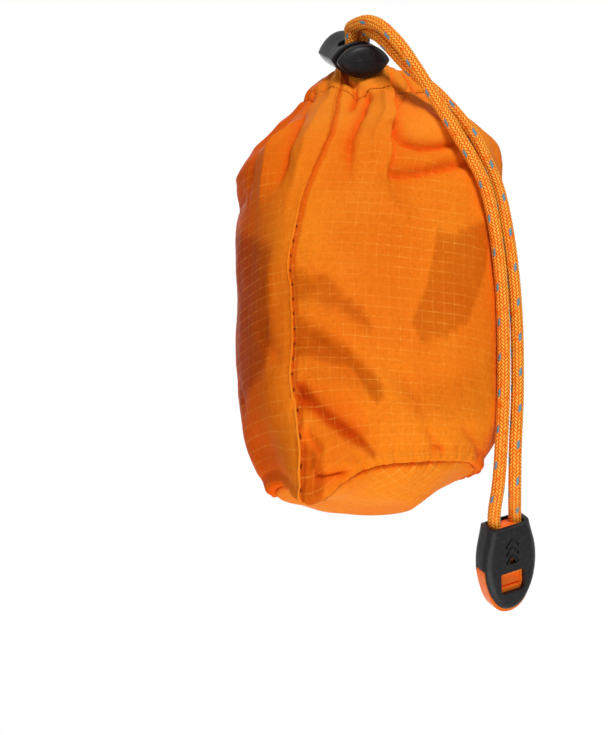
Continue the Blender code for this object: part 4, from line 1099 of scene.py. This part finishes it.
def make_whistle(black):
    matrix = local_matrix(WHISTLE_TOP, whistle_frame())
    face = -WHISTLE_HALF_THICKNESS
    front = []
    for degrees in range(0, 91, 10):
        turn = math.radians(degrees)
        front.append((face + WHISTLE_EDGE * (1.0 - math.cos(turn)), WHISTLE_EDGE * (1.0 - math.sin(turn))))
    back = [(-depth, inset) for depth, inset in reversed(front)]
    sections = [whistle_section(depth, inset) for depth, inset in front + back]
    shell = loft("whistle_moulding", sections, black, matrix)
    bed = ((-5.9, -9.0), (5.9, -9.0), (7.2, -13.6), (12.0, -14.6), (12.0, -36.0), (-12.0, -36.0),
           (-12.0, -14.6), (-7.2, -13.6))
    window = ((-4.3, -16.7), (-3.9, -16.2), (3.9, -16.2), (4.3, -16.7), (4.3, -22.4), (3.4, -23.6),
              (-3.4, -23.6), (-4.3, -22.4))
    port = ((-1.7, -13.4), (1.7, -13.4), (0.25, -11.2), (-0.25, -11.2))
    cutters = [prism("socket", slot_outline(6.0, -3.0, 3.0, 1.6), -10.0, 3.0, black, matrix, "Z"),
               prism("bed", bed, -CORE_BED, CORE_BED, black, matrix),
               prism("window", window, -9.0, 9.0, black, matrix)]
    for top in (-3.9, -6.8, -9.7):
        arch = [(2.6 * share, top - 3.0 * abs(share) ** 1.25)
                for share in (-1.0, -0.75, -0.45, -0.18, 0.0, 0.18, 0.45, 0.75, 1.0)]
        outline = arch + [(x * 0.80, z - 0.72) for x, z in reversed(arch)]
        cutters.append(prism("chevron", outline, face - 1.0, face + 0.42, black, matrix))
    cutters.append(prism("port", port, face - 1.0, -2.0, black, matrix))
    carve(shell, cutters)
    soften(shell, 0.22)
    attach(shell, "whistle")
    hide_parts("whistle_shell")
    return shell


def make_core(orange):
    """The orange insert: its rim shows at the sides, and its ramp through the window."""
    matrix = local_matrix(WHISTLE_TOP, whistle_frame())
    outline = []
    for side, wider in ((1, 0.0), (-1, 0.6)):
        rim = [(5.5 * side, -11.0), (6.7 * side, -13.9), (9.2 * side, -14.95)]
        for x, z in fine_outline():
            if z < -15.6 and x > 0.3:
                out = float(smooth_step(-z, 20.0, 29.0))
                rim.append((side * (x - 0.2 + wider * out), z - 0.7 * out))
        outline += rim[::side]
    half = CORE_HALF_THICKNESS
    core = prism("whistle_core_moulding", outline, -half, half, orange, matrix)
    ramp = ((-3.2, -18.2), (0.6, -17.9), (0.6, -18.6), (-0.9, -18.8), (-1.9, -21.6), (-1.2, -21.8),
            (-1.2, -22.3), (-3.2, -22.3))
    duct = ((-2.4, -23.2), (2.4, -23.2), (2.4, -36.0), (-2.4, -36.0))
    carve(core, [loft("ramp", [[(x, y, z) for y, z in ramp] for x in (-3.8, 3.8)], orange, matrix),
                 prism("duct", duct, -0.7, 0.7, orange, matrix)])
    soften(core, 0.2)
    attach(core, "whistle")
    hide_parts("whistle_core")
    return core


def make_knot(orange):
    """The tied and melted cord ends inside the whistle's collar."""
    rows = ((-0.7, 0.60), (-0.8, 0.84), (-1.2, 0.95), (-2.0, 1.0), (-8.2, 1.0), (-8.8, 0.93), (-9.0, 0.8))
    outline = []
    for step in range(40):
        x, y = math.cos(2 * math.pi * step / 40), math.sin(2 * math.pi * step / 40)
        outline.append((5.6 * math.copysign(abs(x) ** 0.6, x), 2.6 * math.copysign(abs(y) ** 0.7, y)))
    sections = [[(x * scale, y * scale, height) for x, y in outline] for height, scale in rows]
    knot = loft("whistle_cord_knot", sections, orange, local_matrix(WHISTLE_TOP, whistle_frame()))
    knot.data.shade_smooth()
    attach(knot, "whistle")
    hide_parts("whistle_cord_ends")
    return knot


class ClothPlaces:
    """Finds the place and the outward direction on the shaped cloth at an azimuth and height."""

    def __init__(self, points, level):
        self.points = points
        self.column = level[:MOUTH_ROW * ROW_STEPS, 0]

    def find(self, across, height):
        points, column = self.points, self.column
        step = across / MM_PER_DEGREE / 360.0 * AROUND
        low = int(math.floor(step)) % AROUND
        part = step - math.floor(step)
        row = min(max(int(np.searchsorted(column, height)) - 1, 0), len(column) - 2)
        share = min(max((height - column[row]) / max(column[row + 1] - column[row], 1e-6), 0.0), 1.0)
        after = (low + 1) % AROUND
        lower = points[row, low] * (1 - part) + points[row, after] * part
        upper = points[row + 1, low] * (1 - part) + points[row + 1, after] * part
        aside = points[row, (low + 3) % AROUND] - points[row, (low - 3) % AROUND]
        out = np.cross(aside, points[row + 1, low] - points[row, low])
        return lower * (1 - share) + upper * share, out / max(np.linalg.norm(out), 1e-9)


def cloth_path(line, aside=0.0, spacing=0.25):
    """A line of (azimuth, height) points as closely spaced (across, height) places, moved aside."""
    path = smooth_path([(across, height, 0.0) for across, height in flat_line(line)], 10)
    return [point + Vector((aside, 0.0, 0.0)) for point in resample(path, spacing)]


def laid_thread(cloth, stations, sides):
    """Rings of a thread that lies on the cloth. A station is its place, radius and how high it lies."""
    made = []
    for here, ahead, radius, rise in stations:
        place, out = cloth.find(here.x, here.y)
        along = cloth.find(ahead.x, ahead.y)[0] - place
        along /= max(np.linalg.norm(along), 1e-9)
        aside = np.cross(out, along)
        for side in range(sides):
            turn = 2 * math.pi * side / sides
            made.append(place + out * rise + (aside * math.cos(turn) + out * math.sin(turn)) * radius)
    return made


def tube_faces(base, stations, sides):
    """The faces of a closed tube whose points start at base."""
    faces = end_faces(stations, sides) + ring_faces(stations, sides)[0]
    return [tuple(base + corner for corner in face) for face in faces]


def make_stitches(name, finish, cloth, path, limits, spacing, length, radius, sink):
    """Short thread loops in a row on the cloth, along a path."""
    stations_each, sides = 6, 6
    last = len(path) - 1
    step_length = (path[1] - path[0]).length
    run = limits[0]
    stop = min(limits[1], last * step_length)
    points, faces = [], []
    while run + length < stop:
        stations = []
        for station in range(stations_each):
            share = station / (stations_each - 1)
            index = int((run + share * length) / step_length)
            bow = math.sin(math.pi * share)
            stations.append((path[min(index, last)], path[min(index + 2, last)],
                             radius * (0.45 + 0.55 * bow), radius * (0.2 + 0.9 * bow) - sink))
        faces += tube_faces(len(points), stations_each, sides)
        points += laid_thread(cloth, stations, sides)
        run += spacing
    return make_mesh(name, points, faces, finish)


def make_seam_roll(finish, cloth):
    """The rolled edge of the side seam's upper panel, from the hem to the base."""
    sides = 10
    path = cloth_path(SEAM_LINE, -0.30, 0.5)
    stations = []
    for index, point in enumerate(path[4:-2]):
        wave = noise.noise(Vector((index * 0.11, 3.0, 0.0)))
        full = 1.0 - 0.35 * float(smooth_step(point.y, 80.0, 100.0))
        ahead = path[min(index + 6, len(path) - 1)]
        stations.append((point, ahead, (0.36 + 0.08 * wave) * full, 0.06 * wave - 0.08))
    faces = tube_faces(0, len(stations), sides)
    uvs = [(0.9 + 0.1 * (corner % sides), 0.5 * (corner // sides)) for face in faces for corner in face]
    return make_mesh("side_seam_roll", laid_thread(cloth, stations, sides), faces, finish, "cloth", uvs)


def light(name, place, size, power):
    lamp = bpy.data.lights.new(name, "AREA")
    lamp.shape = "DISK"
    lamp.size = size
    lamp.energy = power
    thing = bpy.data.objects.new(name, lamp)
    thing.location = place
    thing.rotation_mode = "QUATERNION"
    thing.rotation_quaternion = (LIGHT_TARGET - Vector(place)).to_track_quat("-Z", "Y")
    bpy.context.scene.collection.objects.link(thing)


def seen_strength(tree, for_others, for_the_eye):
    """One strength for the camera, mirrors and glass, another for the light that reaches the object."""
    path = tree.nodes.new("ShaderNodeLightPath")
    seen = path.outputs["Is Camera Ray"]
    for ray in ("Is Glossy Ray", "Is Transmission Ray"):
        either = tree.nodes.new("ShaderNodeMath")
        either.operation = "MAXIMUM"
        tree.links.new(seen, either.inputs[0])
        tree.links.new(path.outputs[ray], either.inputs[1])
        seen = either.outputs[0]
    strength = tree.nodes.new("ShaderNodeMapRange")
    strength.inputs["To Min"].default_value = for_others
    strength.inputs["To Max"].default_value = for_the_eye
    tree.links.new(seen, strength.inputs["Value"])
    return strength.outputs["Result"]


def make_stage():
    """A pale floor under the object, and a white surrounding for the camera."""
    nodes = Nodes("pale_floor")
    grey = nodes.mix(nodes.noise(8.0), (0.86, 0.86, 0.86), (0.90, 0.90, 0.90))
    nodes.finish(grey, 0.8, Emission_Color=(1.0, 1.0, 1.0),
                 Emission_Strength=seen_strength(nodes.tree, 0.0, FLOOR_PALER))
    size = FLOOR_HALF_SIZE
    corners = [(x, y, FLOOR_LEVEL) for x, y in ((-size, -size), (size, -size), (size, size), (-size, size))]
    floor = make_mesh("floor", corners, [(0, 1, 2, 3)], nodes.made, smooth=False)

    world = bpy.data.worlds.new("studio")
    world.use_nodes = True
    bpy.context.scene.world = world
    tree = world.node_tree
    background = tree.nodes["Background"]
    background.inputs[0].default_value = (1.0, 1.0, 1.0, 1.0)
    tree.links.new(seen_strength(tree, WORLD_LIGHT, 1.0), background.inputs["Strength"])
    for lamp in LIGHTS:
        light(*lamp)


def make_camera():
    camera = bpy.data.cameras.new("camera")
    camera.lens = FOCAL_LENGTH
    camera.sensor_width = 36.0
    camera.clip_start = 0.01
    camera.clip_end = 20.0
    thing = bpy.data.objects.new("camera", camera)
    back = Vector((0.0, -math.cos(VIEW_RISE), -math.sin(VIEW_RISE)))
    thing.location = (VIEW_CENTRE + back * VIEW_DISTANCE) * MM
    thing.rotation_euler = (math.radians(90.0) + VIEW_RISE, 0.0, 0.0)
    bpy.context.scene.collection.objects.link(thing)
    bpy.context.scene.camera = thing


def main():
    orange_cloth = ripstop_material("ripstop", (0.90, 0.188, 0.008), (0.96, 0.250, 0.012),
                                    (0.66, 0.105, 0.003), (1.0, 0.42, 0.05), 0.34)
    base_cloth = ripstop_material("ripstop_bias", (0.94, 0.215, 0.010), (0.98, 0.265, 0.014),
                                  (0.76, 0.13, 0.004), (1.0, 0.46, 0.07), 0.50)
    cord = cord_material()
    black = plastic_material("grained_black", (0.006, 0.006, 0.007), (0.030, 0.030, 0.032),
                             0.40, 700.0, 0.10)
    orange = plastic_material("moulded_orange", (0.98, 0.18, 0.012), (1.0, 0.26, 0.03), 0.34, 500.0, 0.03)
    thread = thread_material("seam_thread", (0.15, 0.018, 0.003))
    hem_thread = thread_material("hem_thread", (0.36, 0.050, 0.004))

    make_camera()
    outer_path, inner_path = strand_routes()
    outer, outer_line = braided_cord("cord_outer", outer_path, cord, 0.6)
    inner, inner_line = braided_cord("cord_inner", inner_path, cord, 2.1)
    loop, _ = braided_cord("drawcord", loop_route(), cord)
    for piece, node in ((outer, "cord_strand_outer"), (inner, "cord_strand_inner"),
                        (loop, "drawcord_loop")):
        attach(piece, "sack")
        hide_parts(node)

    sack, points, level = make_sack(orange_cloth)
    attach(sack, "sack")
    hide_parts("sack_body", "drawcord_hem", "base_seam_binding")
    base = make_base(base_cloth, points[0])
    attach(base, "sack")
    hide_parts("sack_base")

    cloth = ClothPlaces(points, level)
    roll = make_seam_roll(orange_cloth, cloth)
    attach(roll, "sack")
    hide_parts("side_seam")
    stitches = make_stitches("side_stitches", thread, cloth, cloth_path(reversed(SEAM_LINE), 0.32),
                             (3.0, 78.0), 4.7, 0.95, 0.22, 0.02)
    hem_stitches = make_stitches("hem_stitches", hem_thread, cloth, cloth_path(STITCH_LINE),
                                 (0.0, 300.0), 1.9, 1.45, 0.15, 0.07)
    for piece in (stitches, hem_stitches):
        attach(piece, "sack")

    make_lock(black)
    shell = make_whistle(black)
    knot = make_knot(orange)
    core = make_core(orange)
    set_material("lock_spring", steel_material())
    set_material("bivvy_bundle", film_material())

    make_stage()
    bpy.context.scene.view_settings.view_transform = "Standard"


main()
